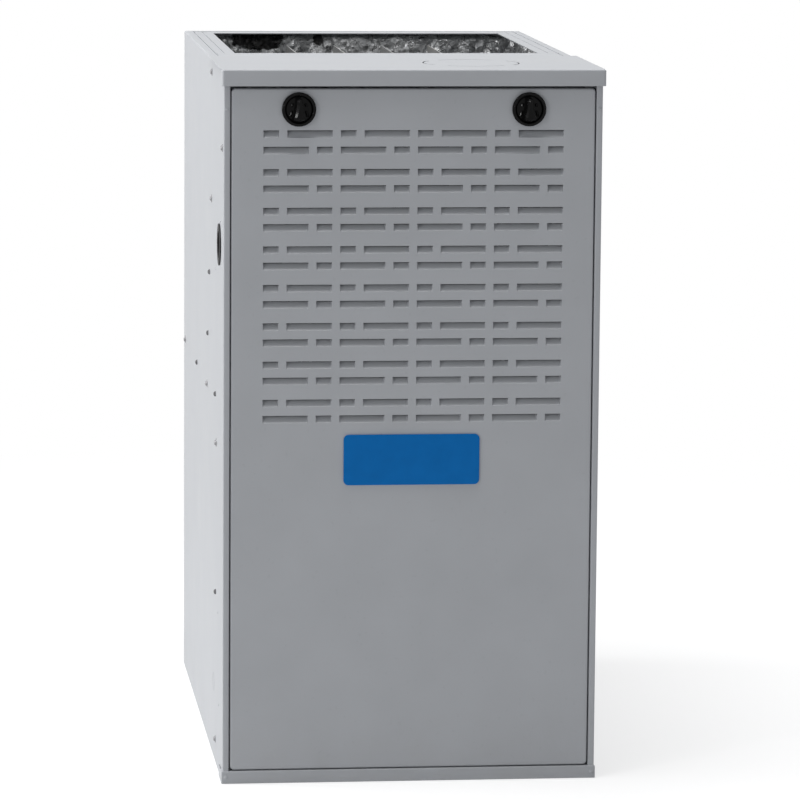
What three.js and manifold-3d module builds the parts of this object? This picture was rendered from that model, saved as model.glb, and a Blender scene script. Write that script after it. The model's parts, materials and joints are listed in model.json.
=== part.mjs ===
// Upflow forced air gas furnace in a 17 1/2 in casing, built from its separate pieces.
// Millimetres. x runs to the right, y runs from the front into the depth, z is up.
// While the pieces are made, y = 0 is the front plane of the casing; the whole group is
// moved at the end so that the origin is the centre of the footprint, on the floor.
import * as THREE from "three";
import { mergeVertices } from "three/addons/utils/BufferGeometryUtils.js";
import Module from "manifold-3d";

const wasm = await Module();
wasm.setup();

// ---------------------------------------------------------------- driving dimensions
const seat = 0.3; // gap between two pieces that rest on each other

// casing
const casingWidth = 444.5;
const casingHeight = 846;
const casingDepth = 733;
const sheet = 1; // casing sheet thickness
const frontFlange = 7.5; // strip of casing seen on each side of the door
const jambDepth = 18; // how far the strip returns into the casing
const jambLedge = 12; // ledge behind the door that the blower panel closes on
const topLedge = 12; // ledge that carries the top plate
const supplyFlangeSide = 35;
const supplyFlangeBack = 45;
const flangeHoleRadius = 1.6;

// top plate over the burner compartment
const topOverhang = 2.8;
const topPlateDepth = 235;
const lipProud = 7; // lip in front of the casing plane
const lipHeight = 19;
const lipReturn = 15; // how far the lip turns the corner
const ventX = 80; // vent centre, to the right of the middle
const ventY = 112; // vent centre behind the casing front
const knockoutRadius = 58;
const knockoutSlit = 1.2;
const knockoutTabs = 4;
const knockoutTabAngle = 0.22;

// base
const railHeight = 15;
const railWrap = 45;
const railScrewInset = 3.5;
const railScrewRadius = 3.2;
const panLip = 15;
const returnMarginSide = 50;
const returnMarginFront = 75;
const returnMarginBack = 60;

// door
const doorGap = 1.4;
const doorTopGap = 2.9;
const doorBottomGap = 1.2;
const doorFlange = 16;
const doorCorner = 4;
const shortSlot = 18.4;
const longSlot = 53.3;
const slotBridge = 9.4;
const slotHeight = 8.8;
const slotRepeats = 4;
const slotPairs = 8;
const slotPairPitch = 45.2;
const slotRowStep = 19.1;
const firstSlotDrop = 48.9;
const badgeWidth = 161;
const badgeHeight = 60;
const badgeCorner = 6;
const badgeSheet = 2;
const badgeDrop = 437.4;
const knobReach = 135; // knob centre to the middle of the door
const knobDrop = 24.4;
const knobRadius = 20;
const knobRim = 5.2;
const knobDish = 3;
const gripHeight = 27;
const gripWidth = 8;
const gripProud = 10; // grip in front of the knob's rim
const stemRadius = 6.7;
const lugReach = 10.5;
const lugHeight = 6;
const lugThickness = 4;
const strikeHeight = 36;
const strikeDepth = 12;
const strikeSheet = 1.2;
const strikeHoleRadius = 12;

// inner divisions
const deckHeight = 432; // top of the blower deck
const deckSheet = 1.2;
const deckApron = 25;
const deckCurb = 20;
const vestibuleDepth = 300; // casing front to the cell panel
const panelSheet = 1.2;
const insulation = 12;
const insulationTopDrop = 3;

// heat exchanger
const cellCount = 4;
const cellPitch = 62;
const cellWidth = 34;
const passHeight = 44;
const passCount = 4;
const seamSheet = 1.4;
const seamMargin = 18;
const cellInletRise = 73;
const cellTopDrop = 14.7;
const cellBackGap = 50; // cell to the inside of the back insulation
const portRadius = 18;
const portBore = 60;

// burners and gas train
const burnerMouthRadius = 19;
const burnerThroatRadius = 11;
const burnerHeadRadius = 20;
const burnerWall = 1.2;
const burnerPanelGap = 15;
const rackWidth = 290;
const rackSheet = 1.2;
const rackDrop = 40; // rack floor below the burner centres
const rackRise = 32;
const rackFrontY = 126;
const gasY = 66; // gas train centre plane behind the casing front
const gasEntryRise = 203; // gas entry above the deck
const gasHoleRadius = 22;
const grommetBore = 16.5;
const manifoldRadius = 11;
const manifoldBend = 26;
const spudLength = 26;
const spudRadius = 7;
const valveX = -150;
const valveWidth = 78;
const valveDepth = 58;
const valveHeight = 74;
const valvePortRadius = 17;
const valvePortBore = 10.5;
const valvePortLength = 14;
const valveKnobRadius = 12;
const valveKnobHeight = 12;

// vent side
const inducerWidth = 54; // housing, front to back
const inducerDrop = 112; // wheel centre below the top of the casing
const inducerX = 10;
const inducerCutoff = 64;
const inducerReach = 105;
const inducerWheelRadius = 56;
const inducerWheelWidth = 36;
const inducerInletRadius = 40;
const inducerSheet = 1.5;
const inducerShaft = 4;
const inducerMotorDepth = 44;
const inducerMotorSize = 76;
const collarRadius = 50;
const collarSheet = 1.2;
const collarHeight = 30;
const collectorHeight = 76;
const collectorMargin = 10;
const collectorFaceHeight = 92;
const pressureSwitchRadius = 34;
const pressureSwitchDepth = 36;
const pressureX = 170;
const pressureBracket = 60; // width of its bracket, and the height of the bracket too
const pressureBracketDrop = 40; // from its centre to the bracket's lower edge
const pressureHub = 14;
const pressureTap = [-16, 12]; // its nipple, from its centre
const pressureTapReach = 9;
const pressureTapRadius = 4;
const switchGap = 11; // between the limit switch and the pressure switch above it
const hoseReach = 70; // how far the hose swings to the front
const hoseRise = 30;
const tapLength = 12;
const tapRise = 6; // above the inducer's centre
const limitX = 172;
const limitRise = 60; // above the burner centres
const limitPlateWidth = 36;
const limitPlateHeight = 24;
const limitCapRadius = 10;
const limitCapDepth = 16;
const limitProbeRadius = 5;
const limitProbeReach = 45; // past the cell panel, into the air stream

// blower
const blowerHalf = 130;
const blowerSheet = 1.2;
const blowerBackGap = 110;
const blowerAxisHeight = 225;
const scrollCutoff = 146;
const scrollReach = 225;
const wheelRadius = 135;
const wheelHalf = 115;
const bladeDepth = 22;
const bladeSheet = 1.6;
const bladeCount = 16;
const hubRadius = 18;
const hubLength = 30;
const inletRadius = 108;
const bellDepth = 12;
const motorRadius = 70;
const motorLength = 122;
const motorInner = 18; // motor's inner end, from the middle of the wheel
const shaftEngage = 40; // length of the wheel's shaft inside the motor
const shaftRunning = 4; // room past the shaft's end, and past the hub
const shaftRadius = 6.4;
const bandSheet = 2.2;
const bandWidth = 22;
const armCount = 3;
const armWidth = 16;
const capacitorRadius = 24;
const capacitorLength = 46;
const capacitorDrop = 60; // below the deck
const capacitorSetback = 40; // behind the blower's outlet edge
const capacitorTab = 8;

// controls in the blower compartment
const accessDoorTopDrop = 2.5;
const accessDoorOverlap = 6;
const controlX = -50; // middle of the control tray
const controlWidth = 220;
const controlHeight = 140;
const controlDepth = 40;
const controlY = 70;
const boardMargin = 12; // from the tray's left wall to the board
const boardRise = 14; // from the tray's floor to the board
const boardWidth = 130;
const boardHeight = 104;
const boardEdge = 12; // from the board's edge to the pieces on it
const relaySize = [20, 16];
const relayPitch = 26;
const terminalStrip = [70, 10]; // its length and height
const transformerGap = 16; // from the board
const transformerRise = 30; // from the tray's floor
const coreWidth = 50;
const coreHeight = 56;
const coreDepth = 20;
const coreStandOff = 6; // from the tray's back wall
const coreFoot = 4;
const windingDepth = 34;
const windingInset = [8, 12]; // from the core's side and top edges
const interlockX = 120;
const interlockBody = 28;
const plungerRadius = 4;
const harnessRadius = 4.5;
const harnessX = -182; // where the harness passes through the deck
const harnessY = 118;
const harnessClimb = 70; // above the deck, where it bends to the valve
const harnessBend = 16;
const harnessApproach = 60; // below the valve

// ---------------------------------------------------------------- derived places
const half = casingWidth / 2;
const wrapperTop = casingHeight - sheet - seat;
const innerHalf = half - sheet - seat; // anything that spans the casing
const jambX = half - frontFlange;
const ledgeY = jambDepth; // front of the ledge behind the door
const behindLedge = ledgeY + sheet + seat;
const innerBack = casingDepth - sheet - seat;
const doorHalf = jambX - doorGap;
const doorTop = casingHeight - lipHeight - doorTopGap;
const doorBottom = railHeight + doorBottomGap;
const knobZ = doorTop - knobDrop;
const badgeZ = doorTop - badgeDrop;
const strikeBack = behindLedge + strikeSheet;
const deckUnder = deckHeight - deckSheet;
const panelBack = vestibuleDepth + panelSheet;
const cellFront = panelBack + seat;
const cellTop = wrapperTop - cellTopDrop;
const cellBack = innerBack - insulation - cellBackGap;
const inletZ = deckHeight + cellInletRise;
const outletZ = cellTop - seamMargin - passHeight / 2;
const passPitch = (outletZ - inletZ) / (passCount - 1);
const cellX = (i) => (i - (cellCount - 1) / 2) * cellPitch;
const gasZ = deckHeight + gasEntryRise;
const rackBackY = vestibuleDepth - burnerPanelGap;
const spudFront = gasY + manifoldRadius + 2;
const burnerMouthY = spudFront + spudLength + 8;
const inducerZ = wrapperTop - inducerDrop;
const inducerFront = ventY - inducerWidth / 2;
const inducerBack = ventY + inducerWidth / 2;
const collectorFront = inducerBack + seat;
const inducerTop = wrapperTop - 8 - collarHeight;
const blowerY = innerBack - blowerBackGap - scrollReach;
const wheelGap = blowerHalf - blowerSheet;
const accessBack = ledgeY - seat;
const accessFront = accessBack - sheet;
const accessHalf = jambX - accessDoorOverlap;
const accessTop = deckHeight - accessDoorTopDrop;
const interlockZ = deckUnder - deckApron / 2;
const limitZ = inletZ + limitRise;
const rackArmX = -cellX(0) + burnerMouthRadius + 4;
const igniterX = rackWidth / 2 - 20;
const rolloutX = cellX(0); // over the first burner, clear of the inducer
const rolloutZ = inletZ + rackRise + 14;
const valveKnobX = valveX - 12;
const valveKnobZ = gasZ - 14;
const valveKnobBack = gasY - valveDepth / 2 + 4 - seat;
const tapEnd = [inducerX + inducerReach + tapLength, ventY, inducerZ + tapRise];
const pressureZ = limitZ + limitPlateHeight / 2 + switchGap + pressureBracketDrop;
const pressureFront = vestibuleDepth - pressureSwitchDepth;
const trayLeft = controlX - controlWidth / 2;
const trayRight = controlX + controlWidth / 2;
const trayTop = deckUnder - seat;
const trayBottom = trayTop - controlHeight;
const trayBack = controlY + controlDepth;

// ---------------------------------------------------------------- solids
function solidOf(geometry) {
  const bare = geometry.index ? geometry.toNonIndexed() : geometry.clone();
  bare.deleteAttribute("normal");
  bare.deleteAttribute("uv");
  const merged = mergeVertices(bare, 1e-4);
  const corners = merged.index.array;
  const kept = [];
  for (let i = 0; i < corners.length; i += 3) {
    const [a, b, c] = [corners[i], corners[i + 1], corners[i + 2]];
    if (a !== b && b !== c && c !== a) kept.push(a, b, c);
  }
  const build = (triVerts) =>
    new wasm.Manifold(
      new wasm.Mesh({
        numProp: 3,
        vertProperties: merged.attributes.position.array,
        triVerts: new Uint32Array(triVerts),
      }),
    );
  const made = build(kept);
  return made.volume() < 0 ? build(kept.reverse()) : made;
}

function geometryOf(solid) {
  const mesh = solid.getMesh();
  const geometry = new THREE.BufferGeometry();
  geometry.setAttribute(
    "position",
    new THREE.BufferAttribute(new Float32Array(mesh.vertProperties), 3),
  );
  geometry.setIndex(new THREE.BufferAttribute(new Uint32Array(mesh.triVerts), 1));
  const faceted = geometry.toNonIndexed();
  faceted.computeVertexNormals();
  return faceted;
}

const join = (...solids) => solids.reduce((a, b) => a.add(b));
const cut = (body, ...tools) => tools.reduce((a, b) => a.subtract(b), body);

// Turns a shape's own x, y and depth into the frame's axes, for each axis that it is extruded along.
const facing = {
  x: new THREE.Matrix4().set(0, 0, 1, 0, 1, 0, 0, 0, 0, 1, 0, 0, 0, 0, 0, 1),
  y: new THREE.Matrix4().set(1, 0, 0, 0, 0, 0, -1, 0, 0, 1, 0, 0, 0, 0, 0, 1),
  z: new THREE.Matrix4(),
};

function block(x0, x1, y0, y1, z0, z1) {
  const box = new THREE.BoxGeometry(x1 - x0, y1 - y0, z1 - z0);
  return solidOf(box.translate((x0 + x1) / 2, (y0 + y1) / 2, (z0 + z1) / 2));
}

// Extrudes a shape along an axis from one place to another. The shape is drawn in
// (y, z) for x, in (x, z) for y and in (x, y) for z.
function prism(axis, shape, from, to, segments = 8) {
  const geometry = new THREE.ExtrudeGeometry(shape, {
    depth: to - from,
    bevelEnabled: false,
    curveSegments: segments,
  });
  geometry.applyMatrix4(facing[axis]);
  const shift = { x: [from, 0, 0], y: [0, to, 0], z: [0, 0, from] }[axis];
  return solidOf(geometry.translate(...shift));
}

// A round bar along an axis, centred on its other two coordinates.
function rod(axis, radius, from, to, a, b, sides = 16) {
  const shape = new THREE.Shape();
  shape.absarc(0, 0, radius, 0, 2 * Math.PI, false);
  const bar = prism(axis, shape, from, to, sides / 2);
  const shift = { x: [0, a, b], y: [a, 0, b], z: [a, b, 0] }[axis];
  return bar.translate(shift);
}

// Spins a closed profile of [radius, place along the axis] about an axis.
function spin(axis, profile, a, b, sides = 20) {
  const points = profile.map(([r, h]) => new THREE.Vector2(r, h));
  const geometry = new THREE.LatheGeometry(points, sides);
  if (axis === "x") geometry.rotateZ(-Math.PI / 2);
  if (axis === "z") geometry.rotateX(Math.PI / 2);
  const shift = { x: [0, a, b], y: [a, 0, b], z: [a, b, 0] }[axis];
  return solidOf(geometry).translate(shift);
}

function outline(points) {
  return new THREE.Shape(points.map(([a, b]) => new THREE.Vector2(a, b)));
}

function roundedRectangle(x0, x1, y0, y1, radius) {
  const shape = new THREE.Shape();
  shape.moveTo(x0 + radius, y0);
  shape.lineTo(x1 - radius, y0);
  shape.absarc(x1 - radius, y0 + radius, radius, -Math.PI / 2, 0, false);
  shape.lineTo(x1, y1 - radius);
  shape.absarc(x1 - radius, y1 - radius, radius, 0, Math.PI / 2, false);
  shape.lineTo(x0 + radius, y1);
  shape.absarc(x0 + radius, y1 - radius, radius, Math.PI / 2, Math.PI, false);
  shape.lineTo(x0, y0 + radius);
  shape.absarc(x0 + radius, y0 + radius, radius, Math.PI, 1.5 * Math.PI, false);
  return shape;
}

// A sheet of one thickness bent along a path. The material lies to the right of the path.
function bentSheet(path, thickness) {
  const last = path.length - 1;
  const offset = path.map(([a, b], i) => {
    const before = path[Math.max(i - 1, 0)];
    const after = path[Math.min(i + 1, last)];
    const here = new THREE.Vector2(a, b);
    const arriving = here.clone().sub(new THREE.Vector2(...before)).normalize();
    const leaving = new THREE.Vector2(...after).sub(here).normalize();
    const way = arriving.clone().add(leaving).normalize();
    const straight = i === 0 ? leaving : i === last ? arriving : way;
    const mitre = i === 0 || i === last ? 1 : 1 / Math.max(0.5, way.dot(arriving));
    return [a + straight.y * thickness * mitre, b - straight.x * thickness * mitre];
  });
  return outline([...path, ...offset.reverse()]);
}

// The eight-cornered body between two rectangles, the first at y0 and the second at y1.
function taper(y0, [ax0, ax1, az0, az1], y1, [bx0, bx1, bz0, bz1]) {
  const corners = [
    [ax0, y0, az0],
    [ax1, y0, az0],
    [ax1, y0, az1],
    [ax0, y0, az1],
    [bx0, y1, bz0],
    [bx1, y1, bz0],
    [bx1, y1, bz1],
    [bx0, y1, bz1],
  ];
  const faces = [
    [0, 1, 2, 3],
    [7, 6, 5, 4],
    [4, 5, 1, 0],
    [5, 6, 2, 1],
    [6, 7, 3, 2],
    [7, 4, 0, 3],
  ];
  const geometry = new THREE.BufferGeometry();
  geometry.setAttribute(
    "position",
    new THREE.Float32BufferAttribute(corners.flat(), 3),
  );
  geometry.setIndex(faces.flatMap(([a, b, c, d]) => [a, b, c, a, c, d]));
  return solidOf(geometry);
}

// A round tube or solid bar that follows a list of points.
function cable(points, radius, steps, sides) {
  const path = new THREE.CatmullRomCurve3(
    points.map((p) => new THREE.Vector3(...p)),
    false,
    "centripetal",
  );
  const section = new THREE.Shape();
  section.absarc(0, 0, radius, 0, 2 * Math.PI, false);
  return solidOf(
    new THREE.ExtrudeGeometry(section, {
      steps,
      extrudePath: path,
      curveSegments: sides,
    }),
  );
}

// ---------------------------------------------------------------- materials
const finish = (color, roughness, metalness) =>
  new THREE.MeshStandardMaterial({ color, roughness, metalness });
const paleGrey = finish(0xd2d4d7, 0.5, 0.1);
const doorGrey = finish(0x8f9297, 0.5, 0.1);
const galvanised = finish(0xa9acae, 0.45, 0.8);
const aluminised = finish(0x8c8f91, 0.5, 0.8);
const foil = finish(0xb9bcbe, 0.35, 0.8);
const blackPlastic = finish(0x131314, 0.3, 0);
const badgeBlue = finish(0x035c97, 0.35, 0);
const brass = finish(0xb5923f, 0.35, 0.9);
const blackSteel = finish(0x2a2b2c, 0.6, 0.5);
const castGrey = finish(0x9a9c9d, 0.55, 0.7);
const rubber = finish(0x1b1b1c, 0.8, 0);
const ceramic = finish(0xd8d2c4, 0.7, 0);
const boardGreen = finish(0x1f5a35, 0.5, 0);
const redPlastic = finish(0xa8201c, 0.4, 0);

const furnace = new THREE.Group();
furnace.position.y = -(casingDepth - knobRim - seat - gripProud) / 2;

function add(name, solid, material) {
  const mesh = new THREE.Mesh(geometryOf(solid), material);
  mesh.name = name;
  furnace.add(mesh);
}

// ---------------------------------------------------------------- casing
// One sheet folded round the two sides and the back, with door jambs and top flanges.
function casingWrapper() {
  const ledge = jambX - jambLedge;
  const side = (s) => [
    [s * ledge, ledgeY],
    [s * jambX, ledgeY],
    [s * jambX, 0],
    [s * half, 0],
    [s * half, casingDepth],
  ];
  const inner = (s) => [
    [s * (half - sheet), casingDepth - sheet],
    [s * (half - sheet), sheet],
    [s * (jambX + sheet), sheet],
    [s * (jambX + sheet), ledgeY + sheet],
    [s * ledge, ledgeY + sheet],
  ];
  const plan = outline([
    ...side(1),
    ...side(-1).reverse(),
    ...inner(-1).reverse(),
    ...inner(1),
  ]);
  const walls = prism("z", plan, 0, wrapperTop);
  const flangeBottom = wrapperTop - sheet;
  const narrow = half - topLedge;
  const wide = half - supplyFlangeSide;
  const topRing = cut(
    block(-half, half, behindLedge, casingDepth, flangeBottom, wrapperTop),
    block(-narrow, narrow, 0, cellFront, 0, casingHeight),
    block(-wide, wide, 0, casingDepth - supplyFlangeBack, 0, casingHeight),
  );
  const holeX = jambX + frontFlange / 2;
  return cut(
    join(walls, topRing),
    rod("x", gasHoleRadius, -half - sheet, -half + 2 * sheet, gasY, gasZ),
    rod("y", flangeHoleRadius, -sheet, 2 * sheet, -holeX, knobZ, 6),
    rod("y", flangeHoleRadius, -sheet, 2 * sheet, holeX, knobZ, 6),
  );
}

// The slit that lets the vent disc be knocked out, left whole at its tabs.
function knockoutSlits() {
  const slits = [];
  const step = (2 * Math.PI) / knockoutTabs;
  for (let i = 0; i < knockoutTabs; i++) {
    const from = i * step + knockoutTabAngle / 2;
    const to = (i + 1) * step - knockoutTabAngle / 2;
    const arc = new THREE.Shape();
    arc.absarc(0, 0, knockoutRadius, from, to, false);
    arc.absarc(0, 0, knockoutRadius - knockoutSlit, to, from, true);
    slits.push(
      prism("z", arc, casingHeight - 3 * sheet, casingHeight + sheet, 4).translate([
        ventX,
        ventY,
        0,
      ]),
    );
  }
  return slits;
}

function topPlate() {
  const wide = half + topOverhang;
  const under = casingHeight - sheet;
  const lipBottom = casingHeight - lipHeight;
  const plate = block(-wide, wide, -lipProud, topPlateDepth, under, casingHeight);
  const lip = block(-wide, wide, -lipProud, sheet - lipProud, lipBottom, casingHeight);
  const end = (x) =>
    block(x, x + sheet, -lipProud, lipReturn - lipProud, lipBottom, casingHeight);
  const body = join(plate, lip, end(-wide), end(wide - sheet));
  return cut(body, ...knockoutSlits());
}

function bottomRail() {
  const outer = half + seat + sheet;
  const face = -seat - sheet; // front of the rail
  const legHalf = jambX - jambLedge - seat;
  const front = block(-outer, outer, face, -seat, 0, railHeight);
  const wrap = (x) => block(x, x + sheet, face, railWrap, 0, railHeight);
  const foot = block(-legHalf, legHalf, face, ledgeY + sheet, 0, sheet);
  const shelf = block(
    -legHalf,
    legHalf,
    face,
    doorFlange,
    railHeight - sheet,
    railHeight,
  );
  return join(front, wrap(-outer), wrap(outer - sheet), foot, shelf);
}

function railScrew(side) {
  const face = -seat - sheet - seat;
  const x = side * (half - railScrewInset);
  const z = railHeight / 2;
  const head = spin(
    "y",
    [
      [0, face],
      [railScrewRadius, face],
      [railScrewRadius, face - 1],
      [railScrewRadius * 0.6, face - 2],
      [0, face - 2],
    ],
    x,
    z,
    12,
  );
  return head;
}

function basePan() {
  const front = behindLedge;
  const tray = cut(
    block(-innerHalf, innerHalf, front, innerBack, 0, panLip),
    block(
      sheet - innerHalf,
      innerHalf - sheet,
      front + sheet,
      innerBack - sheet,
      sheet,
      panLip + sheet,
    ),
  );
  return cut(
    tray,
    block(
      returnMarginSide - half,
      half - returnMarginSide,
      returnMarginFront,
      casingDepth - returnMarginBack,
      -sheet,
      2 * sheet,
    ),
  );
}

// ---------------------------------------------------------------- door
function slotRow(z, shortFirst) {
  const period = shortSlot + longSlot + 2 * slotBridge;
  const start = -(slotRepeats * period - slotBridge) / 2;
  const lengths = shortFirst ? [shortSlot, longSlot] : [longSlot, shortSlot];
  const slots = [];
  for (let i = 0; i < slotRepeats; i++) {
    let x = start + i * period;
    for (const length of lengths) {
      slots.push(block(x, x + length, -sheet, 2 * sheet, z - slotHeight, z));
      x += length + slotBridge;
    }
  }
  return slots;
}

function outerDoor() {
  const shell = prism(
    "y",
    roundedRectangle(-doorHalf, doorHalf, doorBottom, doorTop, doorCorner),
    0,
    doorFlange,
    3,
  );
  const hollow = prism(
    "y",
    roundedRectangle(
      sheet - doorHalf,
      doorHalf - sheet,
      doorBottom + sheet,
      doorTop - sheet,
      doorCorner - sheet,
    ),
    sheet,
    doorFlange + sheet,
    3,
  );
  const stemHole = (x) =>
    rod("y", stemRadius + seat, -sheet, 2 * sheet, x, knobZ, 12);
  const slots = [];
  for (let i = 0; i < slotPairs; i++) {
    const z = doorTop - firstSlotDrop - i * slotPairPitch;
    slots.push(...slotRow(z, true), ...slotRow(z - slotRowStep, false));
  }
  return cut(shell, hollow, stemHole(-knobReach), stemHole(knobReach), ...slots);
}

function badgePlate() {
  const shape = roundedRectangle(
    -badgeWidth / 2,
    badgeWidth / 2,
    badgeZ - badgeHeight / 2,
    badgeZ + badgeHeight / 2,
    badgeCorner,
  );
  return prism("y", shape, -seat - badgeSheet, -seat, 4);
}

// A dished disc with an upright grip, and a stem that reaches through the door to its lugs.
function doorKnob(x) {
  const back = -seat;
  const rim = back - knobRim;
  const dish = rim + knobDish;
  const disc = spin(
    "y",
    [
      [0, back],
      [knobRadius, back],
      [knobRadius, rim + 1.5],
      [knobRadius - 1.5, rim],
      [knobRadius - 3, rim],
      [knobRadius - 5.5, dish],
      [0, dish],
    ],
    x,
    knobZ,
    24,
  );
  const gripFront = rim - gripProud;
  const grip = taper(
    dish + 1,
    [
      x - gripWidth / 2,
      x + gripWidth / 2,
      knobZ - gripHeight / 2,
      knobZ + gripHeight / 2,
    ],
    gripFront,
    [
      x - gripWidth * 0.3,
      x + gripWidth * 0.3,
      knobZ - gripHeight * 0.36,
      knobZ + gripHeight * 0.36,
    ],
  );
  const lugFront = strikeBack + 1;
  const lugBack = lugFront + lugThickness;
  const stem = rod("y", stemRadius, back - 1, lugBack, x, knobZ, 12);
  const lugs = block(
    x - lugReach,
    x + lugReach,
    lugFront,
    lugBack,
    knobZ - lugHeight / 2,
    knobZ + lugHeight / 2,
  );
  return join(disc, grip, stem, lugs);
}

// The cross channel behind the door that the knobs' lugs catch on.
function strikeChannel() {
  const reach = half - sheet - seat;
  const bottom = knobZ - strikeHeight / 2;
  const top = knobZ + strikeHeight / 2;
  const web = block(-reach, reach, behindLedge, strikeBack, bottom, top);
  const depth = behindLedge + strikeDepth;
  const flange = (z) => block(-reach, reach, behindLedge, depth, z, z + strikeSheet);
  const hole = (x) =>
    rod("y", strikeHoleRadius, behindLedge - sheet, strikeBack + sheet, x, knobZ);
  return cut(
    join(web, flange(bottom), flange(top - strikeSheet)),
    hole(-knobReach),
    hole(knobReach),
  );
}

// ---------------------------------------------------------------- inner divisions
// The path of the blower's scroll sheet in (y, z): down the cutoff, round the wheel, up the back.
function scrollPath(top) {
  const from = (80 * Math.PI) / 180;
  const to = 2 * Math.PI;
  const steps = 20;
  const points = [];
  for (let i = 0; i <= steps; i++) {
    const angle = from + ((to - from) * i) / steps;
    const radius = scrollCutoff + ((scrollReach - scrollCutoff) * i) / steps;
    points.push([
      blowerY + radius * Math.cos(angle),
      blowerAxisHeight + radius * Math.sin(angle),
    ]);
  }
  return [[points[0][0], top], ...points, [points[steps][0], top]];
}

const scrollTop = deckUnder - seat;
const outletFront = scrollPath(scrollTop)[0][0];
const outletBack = blowerY + scrollReach;

function blowerDeck() {
  const plate = block(
    -innerHalf,
    innerHalf,
    behindLedge,
    innerBack,
    deckUnder,
    deckHeight,
  );
  const apron = block(
    -innerHalf,
    innerHalf,
    behindLedge,
    behindLedge + deckSheet,
    deckUnder - deckApron,
    deckHeight,
  );
  const curb = (x) =>
    block(
      x,
      x + deckSheet,
      behindLedge,
      vestibuleDepth - seat,
      deckUnder,
      deckHeight + deckCurb,
    );
  const discharge = block(
    -wheelGap,
    wheelGap,
    outletFront,
    outletBack,
    deckUnder - 1,
    deckHeight + 1,
  );
  const harnessHole = rod(
    "z",
    harnessRadius + 4,
    deckUnder - 1,
    deckHeight + 1,
    harnessX,
    harnessY,
    10,
  );
  const plungerHole = rod(
    "y",
    plungerRadius + 1,
    behindLedge - 1,
    behindLedge + deckSheet + 1,
    interlockX,
    interlockZ,
    10,
  );
  return cut(
    join(plate, apron, curb(-innerHalf), curb(innerHalf - deckSheet)),
    discharge,
    harnessHole,
    plungerHole,
  );
}

function cellPanel() {
  const bottom = deckHeight + seat;
  const ledgeUnder = wrapperTop - sheet - seat;
  const flangeHalf = half - topLedge - seat;
  const wall = block(
    -innerHalf,
    innerHalf,
    vestibuleDepth,
    panelBack,
    bottom,
    ledgeUnder,
  );
  const head = block(
    -flangeHalf,
    flangeHalf,
    vestibuleDepth,
    panelBack,
    ledgeUnder - 1,
    wrapperTop,
  );
  const flange = block(
    -flangeHalf,
    flangeHalf,
    topPlateDepth + seat,
    panelBack,
    wrapperTop - sheet,
    wrapperTop,
  );
  const ports = [];
  for (let i = 0; i < cellCount; i++)
    for (const z of [inletZ, outletZ])
      ports.push(
        rod("y", portRadius, vestibuleDepth - 1, panelBack + 1, cellX(i), z, 14),
      );
  const limitHole = rod(
    "y",
    8,
    vestibuleDepth - 1,
    panelBack + 1,
    limitX,
    limitZ,
    10,
  );
  return cut(join(wall, head, flange), ...ports, limitHole);
}

const liningBottom = deckHeight + seat;
const liningTop = wrapperTop - sheet - insulationTopDrop;

function sideLining(side) {
  const outer = innerHalf;
  const inner = innerHalf - insulation;
  const [x0, x1] = side < 0 ? [-outer, -inner] : [inner, outer];
  return block(x0, x1, cellFront, innerBack - insulation - seat, liningBottom, liningTop);
}

function backLining() {
  return block(
    -innerHalf,
    innerHalf,
    innerBack - insulation,
    innerBack,
    liningBottom,
    liningTop,
  );
}

// ---------------------------------------------------------------- heat exchanger
// Two pressed halves joined on a seam sheet. The flue gas runs up through the passes.
function exchangerCell(x) {
  const turn = passPitch / 2;
  const turnBack = cellBack - seamMargin - passHeight / 2 - turn;
  const turnFront = cellFront + seamMargin + passHeight / 2 + turn;
  const x0 = x - cellWidth / 2;
  const x1 = x + cellWidth / 2;
  const pieces = [];
  for (let i = 0; i < passCount; i++) {
    const z = inletZ + i * passPitch;
    const from = i === 0 || i === passCount - 1 ? cellFront : turnFront;
    pieces.push(block(x0, x1, from, turnBack, z - passHeight / 2, z + passHeight / 2));
  }
  for (let i = 0; i < passCount - 1; i++) {
    const back = i % 2 === 0;
    const [from, to] = back
      ? [-Math.PI / 2, Math.PI / 2]
      : [Math.PI / 2, 1.5 * Math.PI];
    const bend = new THREE.Shape();
    bend.absarc(0, 0, turn + passHeight / 2, from, to, false);
    bend.absarc(0, 0, turn - passHeight / 2, to, from, true);
    const centreY = back ? turnBack : turnFront;
    const centreZ = inletZ + (i + 0.5) * passPitch;
    pieces.push(prism("x", bend, x0, x1, 3).translate([0, centreY, centreZ]));
  }
  const seam = prism(
    "x",
    roundedRectangle(
      cellFront + 4,
      cellBack,
      inletZ - passHeight / 2 - seamMargin,
      cellTop,
      seamMargin,
    ),
    x - seamSheet / 2,
    x + seamSheet / 2,
    2,
  );
  const bore = (z) =>
    rod("y", portRadius - 1, cellFront - 1, cellFront + portBore, x, z, 12);
  return cut(join(...pieces, seam), bore(inletZ), bore(outletZ));
}

// ---------------------------------------------------------------- burners and gas train
// A venturi tube with a bell mouth in front and a flared head at the panel.
function burner(x) {
  const throat = burnerMouthY + 30;
  const head = rackBackY - 22;
  const outer = [
    [burnerMouthRadius, burnerMouthY],
    [burnerThroatRadius + 3, rackFrontY],
    [burnerThroatRadius, throat],
    [burnerThroatRadius + 3, head - 20],
    [burnerHeadRadius, head],
    [burnerHeadRadius, rackBackY + 3],
  ];
  const inner = outer.map(([r, y]) => [r - burnerWall, y]).reverse();
  return spin("y", [...outer, ...inner, outer[0]], x, inletZ, 12);
}

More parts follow.
